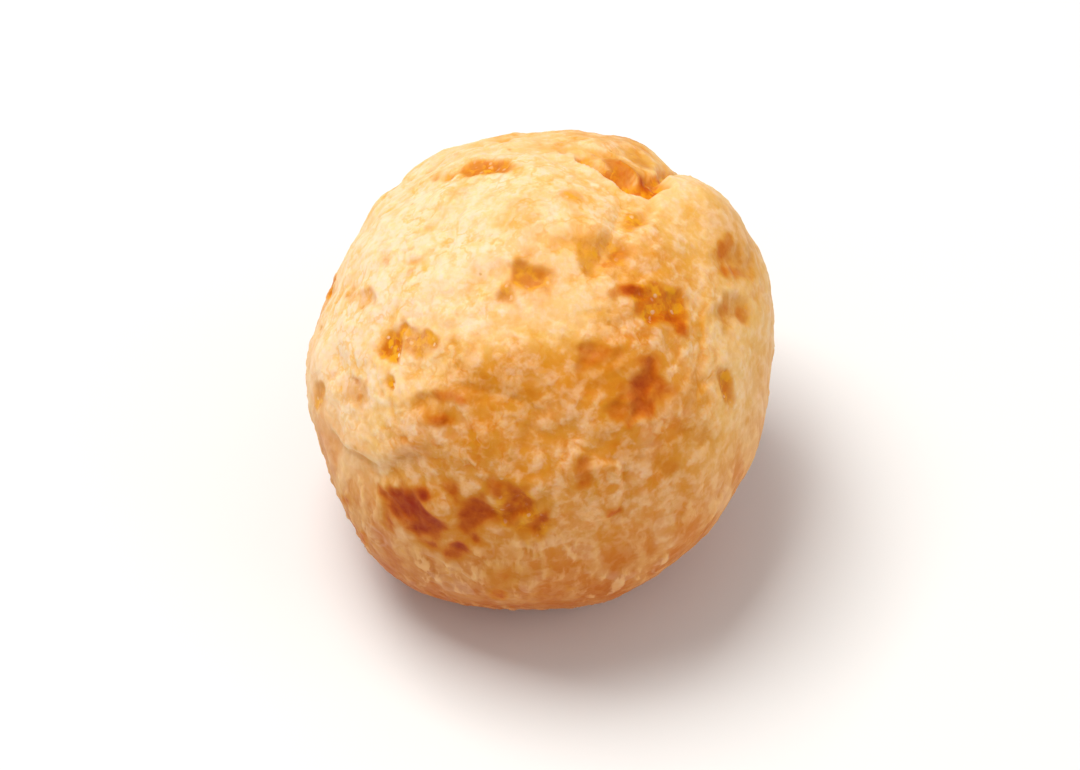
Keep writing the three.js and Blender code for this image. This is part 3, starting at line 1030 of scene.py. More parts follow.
class ReliefBench(Bench):
    """A bench for a Geometry Nodes tree."""

    def __init__(self, name: str, sizes: dict[str, float | int]) -> None:
        """Makes a tree with a geometry and named sizes going in, and a geometry coming out.

        Args:
            name: the tree's name.
            sizes: each named input and its value.
        """
        super().__init__(bpy.data.node_groups.new(name, "GeometryNodeTree"))
        self.sizes = sizes
        face = self.tree.interface
        face.new_socket("Geometry", in_out="OUTPUT", socket_type="NodeSocketGeometry")
        face.new_socket("Geometry", in_out="INPUT", socket_type="NodeSocketGeometry")
        for size, value in sizes.items():
            kind = "NodeSocketInt" if isinstance(value, int) else "NodeSocketFloat"
            face.new_socket(size, in_out="INPUT", socket_type=kind)
        face.new_socket("Finish", in_out="INPUT", socket_type="NodeSocketMaterial")
        self.given = self.node("NodeGroupInput", {}).outputs

    def mark(self, name: str) -> Socket:
        """Returns one of the crust's marks, a number that its mesh carries."""
        return self.node("GeometryNodeInputNamedAttribute", {"Name": name}, data_type="FLOAT").outputs[0]

    def place(self) -> Socket:
        """Returns where on the smooth ball each point of the crust came from."""
        kind = "GeometryNodeInputNamedAttribute"
        return self.node(kind, {"Name": "place"}, data_type="FLOAT_VECTOR").outputs[0]

    def finish(self, geometry: Value) -> None:
        """Ends the tree with real geometry that carries its material.

        Args:
            geometry: what the tree has made.
        """
        real = self.node("GeometryNodeRealizeInstances", {0: geometry}).outputs[0]
        smooth_shaded = self.node("GeometryNodeSetShadeSmooth", {0: real}).outputs[0]
        inputs = {"Geometry": smooth_shaded, "Material": self.given["Finish"]}
        dressed = self.node("GeometryNodeSetMaterial", inputs).outputs[0]
        self.node("NodeGroupOutput", {0: dressed})

    def apply(self, piece: bpy.types.Object, finish: bpy.types.Material) -> None:
        """Runs the tree on a piece, and keeps the result as its plain mesh.

        Args:
            piece: the object whose mesh goes in and is replaced.
            finish: the material that the tree sets.
        """
        modifier = piece.modifiers.new(self.tree.name, "NODES")
        modifier.node_group = self.tree
        for item in self.tree.interface.items_tree:
            if item.in_out == "INPUT" and item.name in self.sizes:
                modifier[item.identifier] = self.sizes[item.name]
            elif item.in_out == "INPUT" and item.name == "Finish":
                modifier[item.identifier] = finish
        graph = bpy.context.evaluated_depsgraph_get()
        made = bpy.data.meshes.new_from_object(piece.evaluated_get(graph), depsgraph=graph)
        piece.modifiers.clear()
        piece.data = made


class FinishBench(Bench):
    """A bench for a material."""

    def __init__(self, name: str) -> None:
        """Makes a material with one plain shader.

        Args:
            name: the material's name.
        """
        self.material = bpy.data.materials.new(name)
        self.material.use_nodes = True
        super().__init__(self.material.node_tree)
        self.shader = self.tree.nodes["Principled BSDF"]

    def mark(self, name: str) -> Socket:
        """Returns one of the crust's marks, a number that its mesh carries."""
        return self.node("ShaderNodeAttribute", {}, attribute_name=name).outputs["Fac"]

    def place(self) -> Socket:
        """Returns where on the smooth ball each point of the crust came from."""
        return self.node("ShaderNodeAttribute", {}, attribute_name="place").outputs["Vector"]

    def tint(self, share: Value, first: Value, second: Value, blend: Blend = Blend.COVER) -> Socket:
        """Returns the first colour with a share of the second laid over it."""
        inputs = {0: share, 6: first, 7: second}
        return self.node("ShaderNodeMix", inputs, data_type="RGBA", blend_type=blend.value).outputs[2]

    def dress(self, **values: Value) -> None:
        """Sets or links the shader's sockets.

        Args:
            values: what goes into each socket, under its name with an underscore for each space.
        """
        for name, value in values.items():
            socket = self.shader.inputs[name.replace("_", " ")]
            if isinstance(value, bpy.types.NodeSocket):
                self.tree.links.new(value, socket)
            else:
                socket.default_value = value


def colour(red: int, green: int, blue: int) -> tuple[float, float, float, float]:
    """Turns a colour as it looks on a screen into the same one for a shader.

    Args:
        red: from 0 to 255.
        green: from 0 to 255.
        blue: from 0 to 255.

    Returns:
        Its red, green and blue in even steps of light, and an alpha of 1.
    """

    def linear(step: int) -> float:
        """Returns the light in one screen step."""
        c = step / 255
        return c / 12.92 if c <= 0.04045 else ((c + 0.055) / 1.055) ** 2.4

    return linear(red), linear(green), linear(blue), 1.0


# ---------------------------------------------------------------- how the skin breaks up


@dataclass(frozen=True)
class Ground:
    """What the parts of the skin's pattern are laid out on."""

    place: Socket  # on the smooth ball
    wandering: Socket  # the same, moved about so that no edge runs straight
    drawn: Socket  # and squeezed in height, so that marks are drawn out upwards
    crown: Socket  # from 0 on the side to 1 on the crown
    lively: Socket  # from 0 where the crust is calm to 1


@dataclass(frozen=True)
class SkinPattern:
    """The thin dry skin over the moist dough, laid out alike in its relief and in its colour.

    Every pitch is in mm. The skin is patchy and crinkled on the crown, and on the side it is drawn out
    into marks that run up and down. A span says over which values of a pattern its part comes in.
    """

    patch_pitch: float = 3.0
    fleck_pitch: float = 1.5
    broad_pitch: float = 9.0
    crinkle_pitch: float = 2.2
    net_pitch: float = 3.6
    peel_pitch: float = 5.5
    blister_pitches: tuple[float, float] = (5.0, 2.3)
    streak_pitch: float = 1.2
    pore_pitch: float = 2.6
    grain_pitch: float = 0.8
    comb_pitch: float = 0.9
    bubble_pitch: float = 0.6
    ragged_pitch: float = 1.9
    sway_pitch: float = 1.9
    sway: float = 0.9  # how far the cells' edges wander
    drawn: float = 0.33  # how far heights are squeezed on the side
    crown: Span = (-0.05, 0.35)  # over which lifts the side turns into the crown
    clearing: Span = (0.42, 0.6)  # where a part that comes and goes is there
    wide_clearing: Span = (0.38, 0.6)
    film: Span = (0.44, 0.56)
    haze: Span = (0.3, 0.68)
    fleck: Span = (0.43, 0.62)
    streak: Span = (0.52, 0.64)
    peel: Span = (0.515, 0.535)
    peel_clearing: Span = (0.46, 0.6)
    peel_below: Span = (0.6, 0.3)  # no skin peels at the top of the crown
    bare: Span = (0.05, 0.9)
    core: Span = (0.3, 1.15)
    # which bubbles carry painted glints, pale dots in the bare cheese
    painted_glint: Span = (0.82, 0.9)

    def ground(self, bench: Bench) -> Ground:
        """Lays out what the pattern's parts share.

        Args:
            bench: the relief's or the finish's bench.

        Returns:
            The places and shares that they are laid out on.
        """
        place = bench.place()
        sway = bench.noise(place, self.sway_pitch, 2).outputs["Color"]
        wandering = bench.moved(place, bench.scaled(sway, (self.sway * METRES,) * 3))
        return Ground(
            place=place,
            wandering=wandering,
            drawn=bench.scaled(wandering, (1, 1, self.drawn)),
            crown=bench.ramp(bench.mark("lift"), *self.crown),
            lively=bench.inverse(bench.mark("calm")),
        )

    def films(self, bench: Bench, ground: Ground) -> dict[str, Socket]:
        """Lays out the patches that the dry film covers, and the flecks in it.

        Args:
            bench: the relief's or the finish's bench.
            ground: what the parts are laid out on.

        Returns:
            The parts film, haze, fleck, mottle and broad.
        """
        broad = bench.noise(ground.place, self.broad_pitch, 3, 0.55).outputs[0]
        on_top = bench.noise(ground.wandering, self.patch_pitch, 6, 0.66).outputs[0]
        on_side = bench.noise(ground.drawn, self.patch_pitch * 0.8, 4, 0.55).outputs[0]
        patch = bench.mix(ground.crown, on_side, on_top)
        level = bench.stirred(patch, broad, 0.45)
        level = bench.math("MULTIPLY_ADD", bench.mark("browned"), -0.05, level)
        mottle = bench.noise(ground.wandering, self.fleck_pitch, 2.5, 0.55).outputs[0]
        flecked = bench.mix(ground.lively, 0.35, 1.0)
        return {
            "film": bench.ramp(level, *self.film),
            "haze": bench.ramp(level, *self.haze),
            "fleck": bench.times(bench.ramp(mottle, *self.fleck), flecked),
            "mottle": mottle,
            "broad": broad,
        }

    def creases(self, bench: Bench, ground: Ground) -> dict[str, Socket]:
        """Lays out the crinkles of the crown, and the net of fine creases between its lumps.

        Args:
            bench: the relief's or the finish's bench.
            ground: what the parts are laid out on.

        Returns:
            The parts crinkle, net and lump.
        """
        folds = bench.noise(ground.wandering, self.crinkle_pitch, 3, 0.55).outputs[0]
        crinkled = bench.ramp(bench.noise(ground.place, 4.5, 2).outputs[0], *self.wide_clearing)
        crinkle = bench.ramp(bench.beside(folds, 0.5), 0.07, 0.0)
        border = bench.cells(ground.wandering, self.net_pitch, Cells.BORDERS).outputs[0]
        netted = bench.ramp(bench.noise(ground.place, 3.3, 2).outputs[0], *self.wide_clearing)
        net = bench.ramp(border, 0.14, 0.0)
        return {
            "crinkle": bench.times(crinkle, crinkled, ground.crown, ground.lively),
            "net": bench.times(net, netted, ground.crown, ground.lively),
            "lump": bench.times(bench.ramp(border, 0.0, 0.4), ground.crown, ground.lively),
        }

    def blister(self, bench: Bench, place: Value, pitch: float, chance: float) -> tuple[Socket, Socket]:
        """Lays out round blisters of all sizes up to half their pitch.

        Args:
            bench: the relief's or the finish's bench.
            place: where on the crust.
            pitch: how far apart they are, in mm.
            chance: how many of them are left out, from 0 to 1.

        Returns:
            How high each stands, and its rim, which is broken here and there.
        """
        cell = bench.cells(place, pitch, loose=0.9)
        reach = bench.math("MULTIPLY_ADD", bench.ramp(bench.rolls(cell)[0], chance, 1.0), 0.4, 0.001)
        share = bench.math("DIVIDE", cell.outputs[0], reach)
        shown = bench.ramp(reach, 0.06, 0.16)
        dome = bench.times(bench.ramp(share, 1.05, 0.2), shown)
        broken = bench.ramp(bench.noise(place, pitch * 0.5, 2).outputs[0], *self.clearing)
        return dome, bench.times(bench.ramp(bench.beside(share, 1.0), 0.2, 0.0), shown, broken)

    def blisters(self, bench: Bench, ground: Ground) -> dict[str, Socket]:
        """Lays out the film's large blisters, and small ones on the crown.

        Args:
            bench: the relief's or the finish's bench.
            ground: what the parts are laid out on.

        Returns:
            The parts blister and rim.
        """
        large, large_rim = self.blister(bench, ground.wandering, self.blister_pitches[0], 0.45)
        small, small_rim = self.blister(bench, ground.wandering, self.blister_pitches[1], 0.5)
        return {
            "blister": bench.math("MAXIMUM", large, bench.times(small, ground.crown)),
            "rim": bench.math("MAXIMUM", large_rim, bench.times(small_rim, ground.crown)),
        }

    def weathering(self, bench: Bench, ground: Ground) -> dict[str, Socket]:
        """Lays out what breaks the film up: peeling edges, streaks on the side, pores and grain.

        Args:
            bench: the relief's or the finish's bench.
            ground: what the parts are laid out on.

        Returns:
            The parts peel, streak, pore and grain.
        """
        peel = bench.noise(ground.place, self.peel_pitch, 0.6, 0.5).outputs[0]
        elsewhere = bench.moved(ground.place, (0.01, 0.02, 0.03))
        lifted = bench.ramp(bench.noise(elsewhere, 4.0, 2).outputs[0], *self.peel_clearing)
        lifted = bench.times(lifted, bench.ramp(bench.mark("lift"), *self.peel_below))
        streak = bench.ramp(bench.noise(ground.drawn, self.streak_pitch, 3, 0.5).outputs[0], *self.streak)
        streaked = bench.ramp(bench.noise(ground.place, 7.0, 2).outputs[0], *self.clearing)
        pores = bench.cells(ground.wandering, self.pore_pitch)
        reach = bench.ramp(bench.rolls(pores)[0], 0.72, 1.0, 0.001, 0.17)
        pore = bench.ramp(bench.math("DIVIDE", pores.outputs[0], reach), 1.05, 0.35)
        return {
            "peel": bench.times(bench.ramp(peel, *self.peel), lifted),
            "streak": bench.times(streak, bench.inverse(ground.crown), streaked),
            "pore": bench.times(pore, bench.ramp(reach, 0.03, 0.08)),
            "grain": bench.noise(ground.place, self.grain_pitch, 2, 0.6).outputs[0],
        }

    def windows(self, bench: Bench, ground: Ground, mottle: Socket) -> dict[str, Socket]:
        """Lays out the bare cheese in the pits and the tears, with a ragged edge, burst bubbles and
        painted glints.

        Args:
            bench: the relief's or the finish's bench.
            ground: what the parts are laid out on.
            mottle: the unevenness that the film's flecks come from.

        Returns:
            The parts rag, bare, core, comb, bubble, and the pale dots of painted glints.
        """
        rag = bench.noise(ground.wandering, self.ragged_pitch, 5, 0.66).outputs[0]
        ragged = bench.stirred(bench.math("MAXIMUM", bench.mark("pit"), bench.mark("tear")), rag, 1.3)
        ragged = bench.stirred(ragged, mottle, 0.9)
        comb = bench.cells(ground.wandering, self.comb_pitch, Cells.SOFT_MIDDLES).outputs[0]
        bubbles = bench.cells(ground.wandering, self.bubble_pitch)
        bubble = bench.rolls(bubbles)
        # pale dots on some bubbles: painted glints
        glinted = bench.ramp(bubble[1], *self.painted_glint)
        return {
            "rag": rag,
            "bare": bench.ramp(ragged, *self.bare),
            "core": bench.ramp(ragged, *self.core),
            "comb": bench.ramp(comb, 0.0, 0.6),
            "bubble": bubble[0],
            "painted_glint": bench.times(glinted, bench.ramp(bubbles.outputs[0], 0.5, 0.2)),
        }

    def lay(self, bench: Bench) -> dict[str, Socket]:
        """Lays out the whole pattern.

        Args:
            bench: the relief's or the finish's bench.

        Returns:
            Each part of the pattern as a number from 0 to 1.
        """
        ground = self.ground(bench)
        films = self.films(bench, ground)
        return {
            "crown": ground.crown,
            "lively": ground.lively,
            **films,
            **self.creases(bench, ground),
            **self.blisters(bench, ground),
            **self.weathering(bench, ground),
            **self.windows(bench, ground, films["mottle"]),
        }


@dataclass(frozen=True)
class SkinRelief:
    """How far each part of the skin's pattern stands out of the crust, or sinks into it, in mm."""

    film: float = 0.055
    blister: float = 0.08
    rim: float = 0.05
    crinkle: float = -0.05
    net: float = -0.04
    lump: float = 0.045
    peel: float = 0.09
    streak: float = 0.16
    fleck: float = 0.04
    pore: float = -0.08
    grain: float = 0.05
    comb: float = 0.07
    comb_middle: float = 0.6  # the value of the comb that neither stands out nor sinks in
    grain_middle: float = 0.5  # and of the grain
    above_base: Span = (-0.62, -0.42)  # over which lifts the relief comes in above the flat base

    def tree(self, pattern: SkinPattern) -> ReliefBench:
        """Builds the tree that raises the skin.

        Args:
            pattern: the skin's pattern.

        Returns:
            The tree on its bench, ready to be applied.
        """
        over_film = ("film", "blister", "rim", "crinkle", "net", "lump", "peel", "streak", "fleck")
        parts = (*over_film, "pore", "grain", "comb")
        names = {part: f"{part.title()} Rise" for part in parts}
        bench = ReliefBench("Skin Relief", {names[part]: getattr(self, part) * METRES for part in parts})
        skin = pattern.lay(bench)
        size = {part: bench.given[names[part]] for part in parts}
        skinned = bench.plus(*(bench.times(skin[part], size[part]) for part in over_film))
        burst = bench.times(bench.math("SUBTRACT", skin["comb"], self.comb_middle), size["comb"])
        rise = bench.plus(
            bench.mix(skin["bare"], skinned, burst),
            bench.times(skin["pore"], size["pore"]),
            bench.times(bench.math("SUBTRACT", skin["grain"], self.grain_middle), size["grain"]),
        )
        rise = bench.times(rise, bench.ramp(bench.mark("lift"), *self.above_base))
        normal = bench.node("GeometryNodeInputNormal", {}).outputs[0]
        out = bench.node("ShaderNodeVectorMath", {0: normal, "Scale": rise}, operation="SCALE").outputs[0]
        inputs = {"Geometry": bench.given["Geometry"], "Offset": out}
        bench.finish(bench.node("GeometryNodeSetPosition", inputs).outputs[0])
        return bench


# ---------------------------------------------------------------- finishes


@dataclass(frozen=True)
class CrustFinish:
    """Baked crust: a cream skin over golden dough, amber in the pits, toasted in patches."""

    # the dough, from its palest to its deepest, then low on the side and at the base
    straw: tuple[float, ...] = colour(253, 206, 152)
    dough: tuple[float, ...] = colour(243, 191, 104)
    honey: tuple[float, ...] = colour(226, 149, 40)
    side: tuple[float, ...] = colour(210, 115, 16)
    base: tuple[float, ...] = colour(184, 90, 20)
    # the film over it, on the crown and on the side, then its edges and its streaks
    cream: tuple[float, ...] = colour(254, 222, 190)
    peach: tuple[float, ...] = colour(246, 200, 128)
    # pale also paints the glints in the bare cheese, and partly the highlights on brims and blister rims
    pale: tuple[float, ...] = colour(255, 231, 200)
    stretched: tuple[float, ...] = colour(250, 200, 136)
    # painted shade: the crust is multiplied by this in its folds, creases, net and under its steps, darker
    # and more orange where shade falls
    fold_shade: tuple[float, ...] = (0.97, 0.74, 0.34, 1.0)  # what the crust is multiplied by in its folds
    buttery: tuple[float, ...] = (1.0, 0.95, 0.7, 1.0)  # and where cheese lies near its surface
    # the bare cheese, then the crust as it bakes on
    amber: tuple[float, ...] = colour(210, 106, 0)
    yolk: tuple[float, ...] = colour(240, 168, 14)
    golden: tuple[float, ...] = colour(214, 142, 32)
    toasted: tuple[float, ...] = colour(206, 98, 0)
    burnt: tuple[float, ...] = colour(154, 30, 0)
    roughness: float = 0.5
    moist_roughness: float = 0.28
    sheen: float = 0.1
    fine_pitch: float = 0.4
    fine_height: float = 0.035  # the finest grain, too small for the relief
    fleck_height: float = 0.02
    glint_pitch: float = 0.6
    glint_height: float = 0.04
    glow: float = 0.5  # how much light passes through the crust
    glow_reach: float = 1.5
    glow_tint: tuple[float, float, float] = (1.0, 0.55, 0.18)

    def dough_tint(self, bench: FinishBench, skin: dict[str, Socket]) -> Socket:
        """Tints the dough: straw to honey as it browns, cream where it is pale, and darker tan towards the
        base, partly as painted shade.

        Args:
            bench: the finish's bench.
            skin: the skin's pattern and the crust's marks.

        Returns:
            The dough's colour.
        """
        browned = skin["browned"]
        broad = bench.ramp(skin["broad"], 0.4, 0.7, 0.0, 0.7)
        uneven = bench.times(broad, bench.ramp(browned, -0.9, 0.0, 0.25, 1.0))
        honeyed = bench.math("MULTIPLY_ADD", skin["broad"], 0.5, browned)
        body = bench.tint(bench.plus(uneven, bench.ramp(browned, -0.4, 0.5)), self.straw, self.dough)
        body = bench.tint(bench.ramp(honeyed, 0.3, 0.95), body, self.honey)
        body = bench.tint(bench.ramp(browned, -0.2, -0.9, 0.0, 0.6), body, self.cream)
        # darker and more orange low on the side and at the base: partly the browner baked underside,
        # partly painted shade and painted warm bounce light
        body = bench.tint(skin["low"], body, self.side)
        return bench.tint(bench.ramp(skin["lift"], 0.09, -0.36), body, self.base)

    def film_over(self, bench: FinishBench, skin: dict[str, Socket], body: Socket) -> Socket:
        """Lays the pale film, its flecks, the streaks on the side and a golden blush over the dough.

        Args:
            bench: the finish's bench.
            skin: the skin's pattern and the crust's marks.
            body: the dough's colour.

        Returns:
            The crust's colour so far.
        """
        browned, lift, low = skin["browned"], skin["lift"], skin["low"]
        filmed = bench.times(skin["film"], bench.mix(low, 0.12, 0.25))
        filmed = bench.plus(bench.times(skin["haze"], 0.6), filmed)
        filmed = bench.times(filmed, bench.ramp(browned, -1, 1, 1.3, 0.4))
        flecked = bench.times(skin["fleck"], bench.ramp(browned, -0.2, 1, 0.2, 0.38))
        filmed = bench.times(bench.plus(filmed, flecked), bench.ramp(lift, -0.36, 0.1, 0.15, 0.9))
        crust = bench.tint(filmed, body, bench.tint(low, self.cream, self.peach))
        streaked = bench.times(skin["streak"], bench.ramp(lift, -0.42, -0.15, 0.12, 0.45))
        crust = bench.tint(streaked, crust, self.stretched)
        blush = bench.ramp(bench.math("MULTIPLY_ADD", browned, 0.06, skin["rag"]), 0.5, 0.7)
        blush = bench.times(blush, bench.ramp(lift, -0.35, 0.15, 0.4, 1.0))
        blush = bench.times(blush, bench.ramp(browned, -0.3, 0.6, 0.0, 1.0))
        blush = bench.times(blush, 0.5, bench.mix(skin["lively"], 0.3, 1.0))
        return bench.tint(blush, crust, self.golden)

    def creased(self, bench: FinishBench, skin: dict[str, Socket], crust: Socket) -> Socket:
        """Paints shade into the crust's folds, pales its peeling edges, and pales its brims and blister
        rims, partly as painted highlight.

        Args:
            bench: the finish's bench.
            skin: the skin's pattern and the crust's marks.
            crust: the crust's colour.

        Returns:
            The crust's colour with them.
        """
        # painted shade: crinkles, puff creases, the feet of steps and the net of creases are multiplied
        # darker
        folded = bench.times(bench.plus(skin["crinkle"], bench.mark("crease")), 0.7)
        folded = bench.plus(folded, bench.times(bench.mark("foot_shade"), 0.2), bench.times(skin["net"], 0.4))
        crust = bench.tint(bench.math("MINIMUM", folded, 1.0), crust, self.fold_shade, Blend.DEEPEN)
        cheesy = bench.times(bench.ramp(skin["grain"], 0.4, 0.62), skin["crown"], 0.8)
        crust = bench.tint(cheesy, crust, self.buttery, Blend.DEEPEN)
        # brims are pale partly as dry crust and partly as painted highlight on a step's crest; peeling
        # edges are pale film
        edged = bench.plus(bench.times(bench.mark("dry_lit_brim"), 0.15), bench.times(skin["peel"], 0.12))
        crust = bench.tint(edged, crust, self.pale)
        # blister rims are pale partly as film edges and partly as painted highlight
        crust = bench.tint(bench.times(skin["rim"], 0.14), crust, self.pale)
        return bench.tint(bench.times(skin["pore"], 0.6), crust, self.golden)

    def baked(self, bench: FinishBench, skin: dict[str, Socket], crust: Socket) -> Socket:
        """Opens the pits and tears to amber cheese, and toasts the crust from golden to burnt.

        Args:
            bench: the finish's bench.
            skin: the skin's pattern and the crust's marks.
            crust: the crust's colour.

        Returns:
            The crust's colour with them.
        """
        mosaic = bench.stirred(skin["mottle"], skin["bubble"], 0.22)
        inside = bench.tint(bench.ramp(mosaic, 0.38, 0.64), self.amber, self.yolk)
        # painted glints: pale dots in the bare cheese
        inside = bench.tint(bench.times(skin["painted_glint"], 0.75), inside, self.pale)
        # the pits' rims add painted shade on their upper walls to the toasting
        scorch = bench.math("MULTIPLY_ADD", bench.mark("rim"), 0.1, bench.mark("toast"))
        scorch = bench.stirred(scorch, skin["rag"], -1.0)
        scorch = bench.stirred(scorch, skin["mottle"], -0.7)
        crust = bench.tint(bench.times(skin["bare"], 0.75), crust, self.honey)
        crust = bench.tint(bench.times(bench.ramp(scorch, -0.05, 0.75), 0.7), crust, self.golden)
        crust = bench.tint(bench.times(skin["core"], 0.9), crust, inside)
        crust = bench.tint(bench.times(bench.ramp(scorch, 0.25, 1.15), 0.88), crust, self.toasted)
        return bench.tint(bench.times(bench.ramp(scorch, 0.7, 1.7), 0.95), crust, self.burnt)

    def grain(self, bench: FinishBench, skin: dict[str, Socket]) -> Socket:
        """Lays out the finest grain.

        Args:
            bench: the finish's bench.
            skin: the skin's pattern and the crust's marks.

        Returns:
            The direction that the crust faces with it.
        """
        place = bench.place()
        fine = bench.noise(place, self.fine_pitch, 3, 0.6).outputs[0]
        glints = bench.times(bench.cells(place, self.glint_pitch).outputs[0], skin["bare"])
        height = bench.plus(
            bench.times(fine, self.fine_height * METRES),
            bench.times(skin["fleck"], self.fleck_height * METRES),
            bench.times(glints, self.glint_height * METRES),
        )
        inputs = {"Height": height, "Distance": 1.0, "Strength": 1.0}
        return bench.node("ShaderNodeBump", inputs).outputs[0]

    def material(self, pattern: SkinPattern) -> bpy.types.Material:
        """Builds the material.

        Args:
            pattern: the skin's pattern, the same as in its relief.

        Returns:
            The material.
        """
        bench = FinishBench("Baked crust")
        lift = bench.mark("lift")
        low = bench.ramp(lift, 0.28, -0.12)
        skin = {**pattern.lay(bench), "lift": lift, "low": low, "browned": bench.mark("browned")}
        crust = self.film_over(bench, skin, self.dough_tint(bench, skin))
        crust = self.baked(bench, skin, self.creased(bench, skin, crust))
        dewy = bench.times(bench.inverse(skin["haze"]), bench.ramp(lift, -0.35, 0.1, 0.0, 0.3))
        moist = bench.math("MAXIMUM", skin["core"], dewy)
        bench.dress(
            Base_Color=crust,
            Roughness=bench.mix(moist, self.roughness, self.moist_roughness),
            Normal=self.grain(bench, skin),
            Specular_IOR_Level=self.sheen,
            Subsurface_Weight=self.glow,
            Subsurface_Radius=self.glow_tint,
            Subsurface_Scale=self.glow_reach * METRES,
        )
        return bench.material


@dataclass(frozen=True)
class FloorFinish:
    """Matt near-white board."""

    board: tuple[float, ...] = colour(244, 243, 241)
    roughness: float = 0.7

    def material(self) -> bpy.types.Material:
        """Builds the material.

        Returns:
            The material.
        """
        bench = FinishBench("Pale board")
        bench.dress(Base_Color=self.board, Roughness=self.roughness)
        return bench.material


# ---------------------------------------------------------------- the pieces


def mesh_object(
    name: str, points: np.ndarray, faces: np.ndarray, marks: dict[str, np.ndarray]
) -> bpy.types.Object:
    """Makes an object at the origin.

    Args:
        name: the piece's name.
        points: its corners in metres.
        faces: each face's corner numbers.
        marks: a number for each corner under each mark's name, or three for a vector.

    Returns:
        The object, linked into the scene.
    """
    mesh = bpy.data.meshes.new(name)
    mesh.from_pydata(points, [], faces.tolist())
    for mark, values in marks.items():
        vector = values.ndim == 2
        kept = mesh.attributes.new(mark, "FLOAT_VECTOR" if vector else "FLOAT", "POINT")
        kept.data.foreach_set("vector" if vector else "value", values.astype(np.float32).ravel())
    mesh.shade_smooth()
    piece = bpy.data.objects.new(name, mesh)
    bpy.context.scene.collection.objects.link(piece)
    return piece


@dataclass
class CheeseBall:
    """The baked ball: its form on a fine grid, then its broken skin."""

    form: CrustForm = field(default_factory=CrustForm)
    pattern: SkinPattern = field(default_factory=SkinPattern)
    relief: SkinRelief = field(default_factory=SkinRelief)
    finish: CrustFinish = field(default_factory=CrustFinish)
    squares: int = 128
    drawn_up: float = 0.12  # how much of the grid is drawn from the base up to the crown

    def build(self) -> bpy.types.Object:
        """Makes the ball, dressed and set down in its solid's place.

        Returns:
            The finished piece.
        """
        corners, faces = cube_grid(self.squares)
        way = unit(corners + np.array([0, 0, self.drawn_up]))
        points, marks = self.form.shape(way)
        marks["place"] = way * self.form.radius * METRES
        piece = mesh_object("baked_crust", points * METRES, faces, marks)
        self.relief.tree(self.pattern).apply(piece, self.finish.material(self.pattern))
        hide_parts("cheese_ball")
        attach(piece, "root")
        return piece


@dataclass(frozen=True)
class Lamp:
    """A soft square lamp that faces the ball."""

    name: str
    way: tuple[float, float, float]  # from the ball to the lamp
    side: float
    watts: float
    warmth: float  # from 0 for white to 1
    distance: float = 700
    lacking: tuple[float, float] = (0.1, 0.25)  # the green and blue that a fully warm lamp lacks

    def hang(self, centre: Vector) -> None:
        """Hangs the lamp.

        Args:
            centre: the ball's centre, in metres.
        """
        light = bpy.data.lights.new(self.name, "AREA")
        light.size = self.side * METRES
        light.energy = self.watts
        light.color = (1, *(1 - lack * self.warmth for lack in self.lacking))
        lamp = bpy.data.objects.new(self.name, light)
        toward = Vector(self.way).normalized()
        lamp.location = centre + toward * self.distance * METRES
        lamp.rotation_euler = toward.to_track_quat("Z", "Y").to_euler()
        bpy.context.scene.collection.objects.link(lamp)


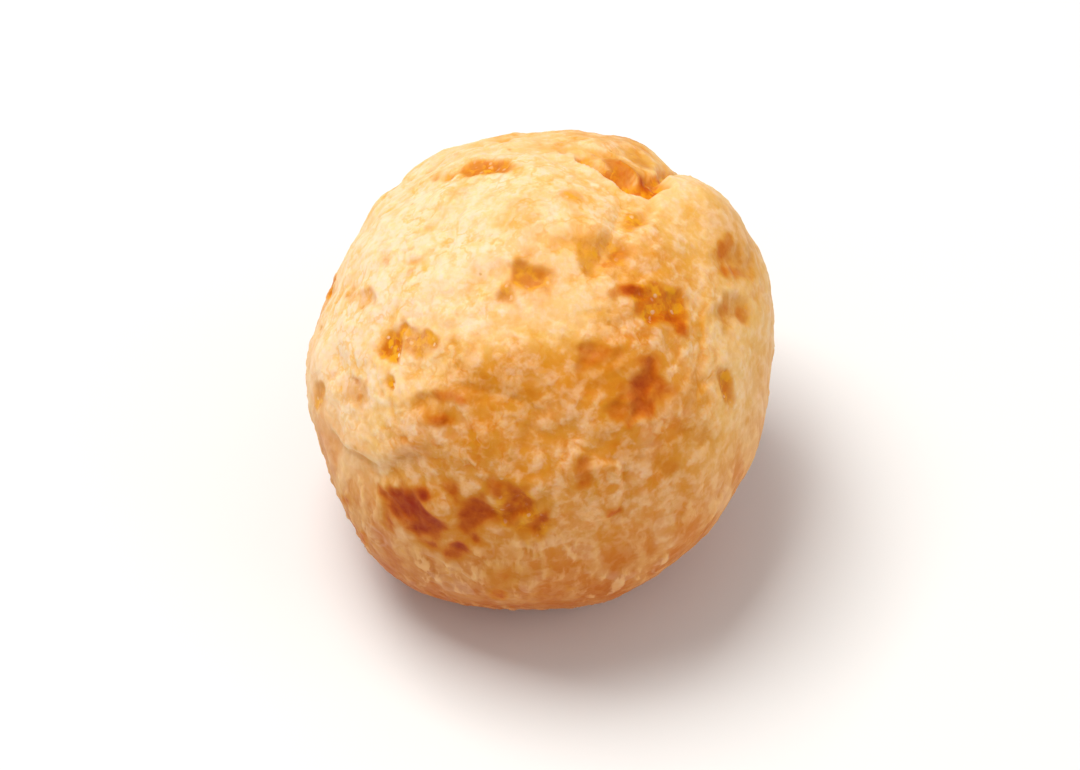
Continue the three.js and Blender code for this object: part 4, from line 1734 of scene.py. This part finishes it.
@dataclass
class Studio:
    """The pale board under the ball, soft light from the upper left, and the camera.

    Lengths are in mm, and frame places are pixels of a 1080 by 770 frame.
    """

    board_size: float = 6000
    ball_centre: tuple[float, float, float] = (0, 0, 20.6)
    ball_width: float = 49.8
    frame: tuple[int, int] = (1080, 770)
    ball_pixels: float = 468
    ball_at: tuple[float, float] = (540, 372)
    elevation: float = 50  # of the camera above the ball, in degrees
    lens: float = 180
    sensor: float = 36
    clip: tuple[float, float] = (10, 20000)  # how near and how far the camera sees
    sky_strength: float = 0.42
    lamps: tuple[Lamp, ...] = (
        Lamp("key lamp", (-0.28, 0.16, 0.94), 380, 4.2, 0.12),
        Lamp("fill lamp", (0.92, -0.3, 0.45), 500, 0.9, 0.4),
    )

    def board(self) -> None:
        """Makes the board."""
        half = self.board_size / 2 * METRES
        corners = np.array([[-half, -half, 0], [half, -half, 0], [half, half, 0], [-half, half, 0]])
        board = mesh_object("board", corners, np.array([[0, 1, 2, 3]]), {})
        board.data.materials.append(FloorFinish().material())

    def sky(self) -> None:
        """Lights everything evenly from all round."""
        world = bpy.data.worlds.new("Pale room")
        world.use_nodes = True
        sky = world.node_tree.nodes["Background"].inputs
        sky["Color"].default_value = (1, 1, 1, 1)
        sky["Strength"].default_value = self.sky_strength
        bpy.context.scene.world = world

    def camera(self) -> None:
        """Sets the camera so that the ball has its place and size in the frame, with no shift."""
        data = bpy.data.cameras.new("camera")
        data.lens, data.sensor_width = self.lens, self.sensor
        data.clip_start, data.clip_end = (end * METRES for end in self.clip)
        wide, high = self.frame
        focal = self.lens / self.sensor * wide
        distance = focal * self.ball_width / self.ball_pixels * METRES
        lift = math.radians(self.elevation)
        back = Vector((0, -math.cos(lift), math.sin(lift)))
        pixel = Vector((self.ball_at[0] - wide / 2, high / 2 - self.ball_at[1], -focal)).normalized()
        turn = Vector((0, 0, -1)).rotation_difference(pixel)
        look = back.to_track_quat("Z", "Y")
        camera = bpy.data.objects.new("camera", data)
        place = Vector(self.ball_centre) * METRES + back * distance
        camera.matrix_world = Matrix.Translation(place) @ (look @ turn.inverted()).to_matrix().to_4x4()
        bpy.context.scene.collection.objects.link(camera)
        bpy.context.scene.camera = camera

    def build(self) -> None:
        """Sets up the board, the light and the camera."""
        bpy.context.scene.view_settings.view_transform = "Standard"
        self.board()
        self.sky()
        for lamp in self.lamps:
            lamp.hang(Vector(self.ball_centre) * METRES)
        self.camera()


def main() -> None:
    """Builds the ball and the studio in order, and logs the ball's triangle count."""
    logging.basicConfig(level=logging.INFO, format="%(name)s: %(message)s")
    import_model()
    ball = CheeseBall().build()
    triangles = sum(len(face.vertices) - 2 for face in ball.data.polygons)
    log.info("%s: %d triangles", ball.name, triangles)
    Studio().build()


if __name__ == "__main__":
    main()
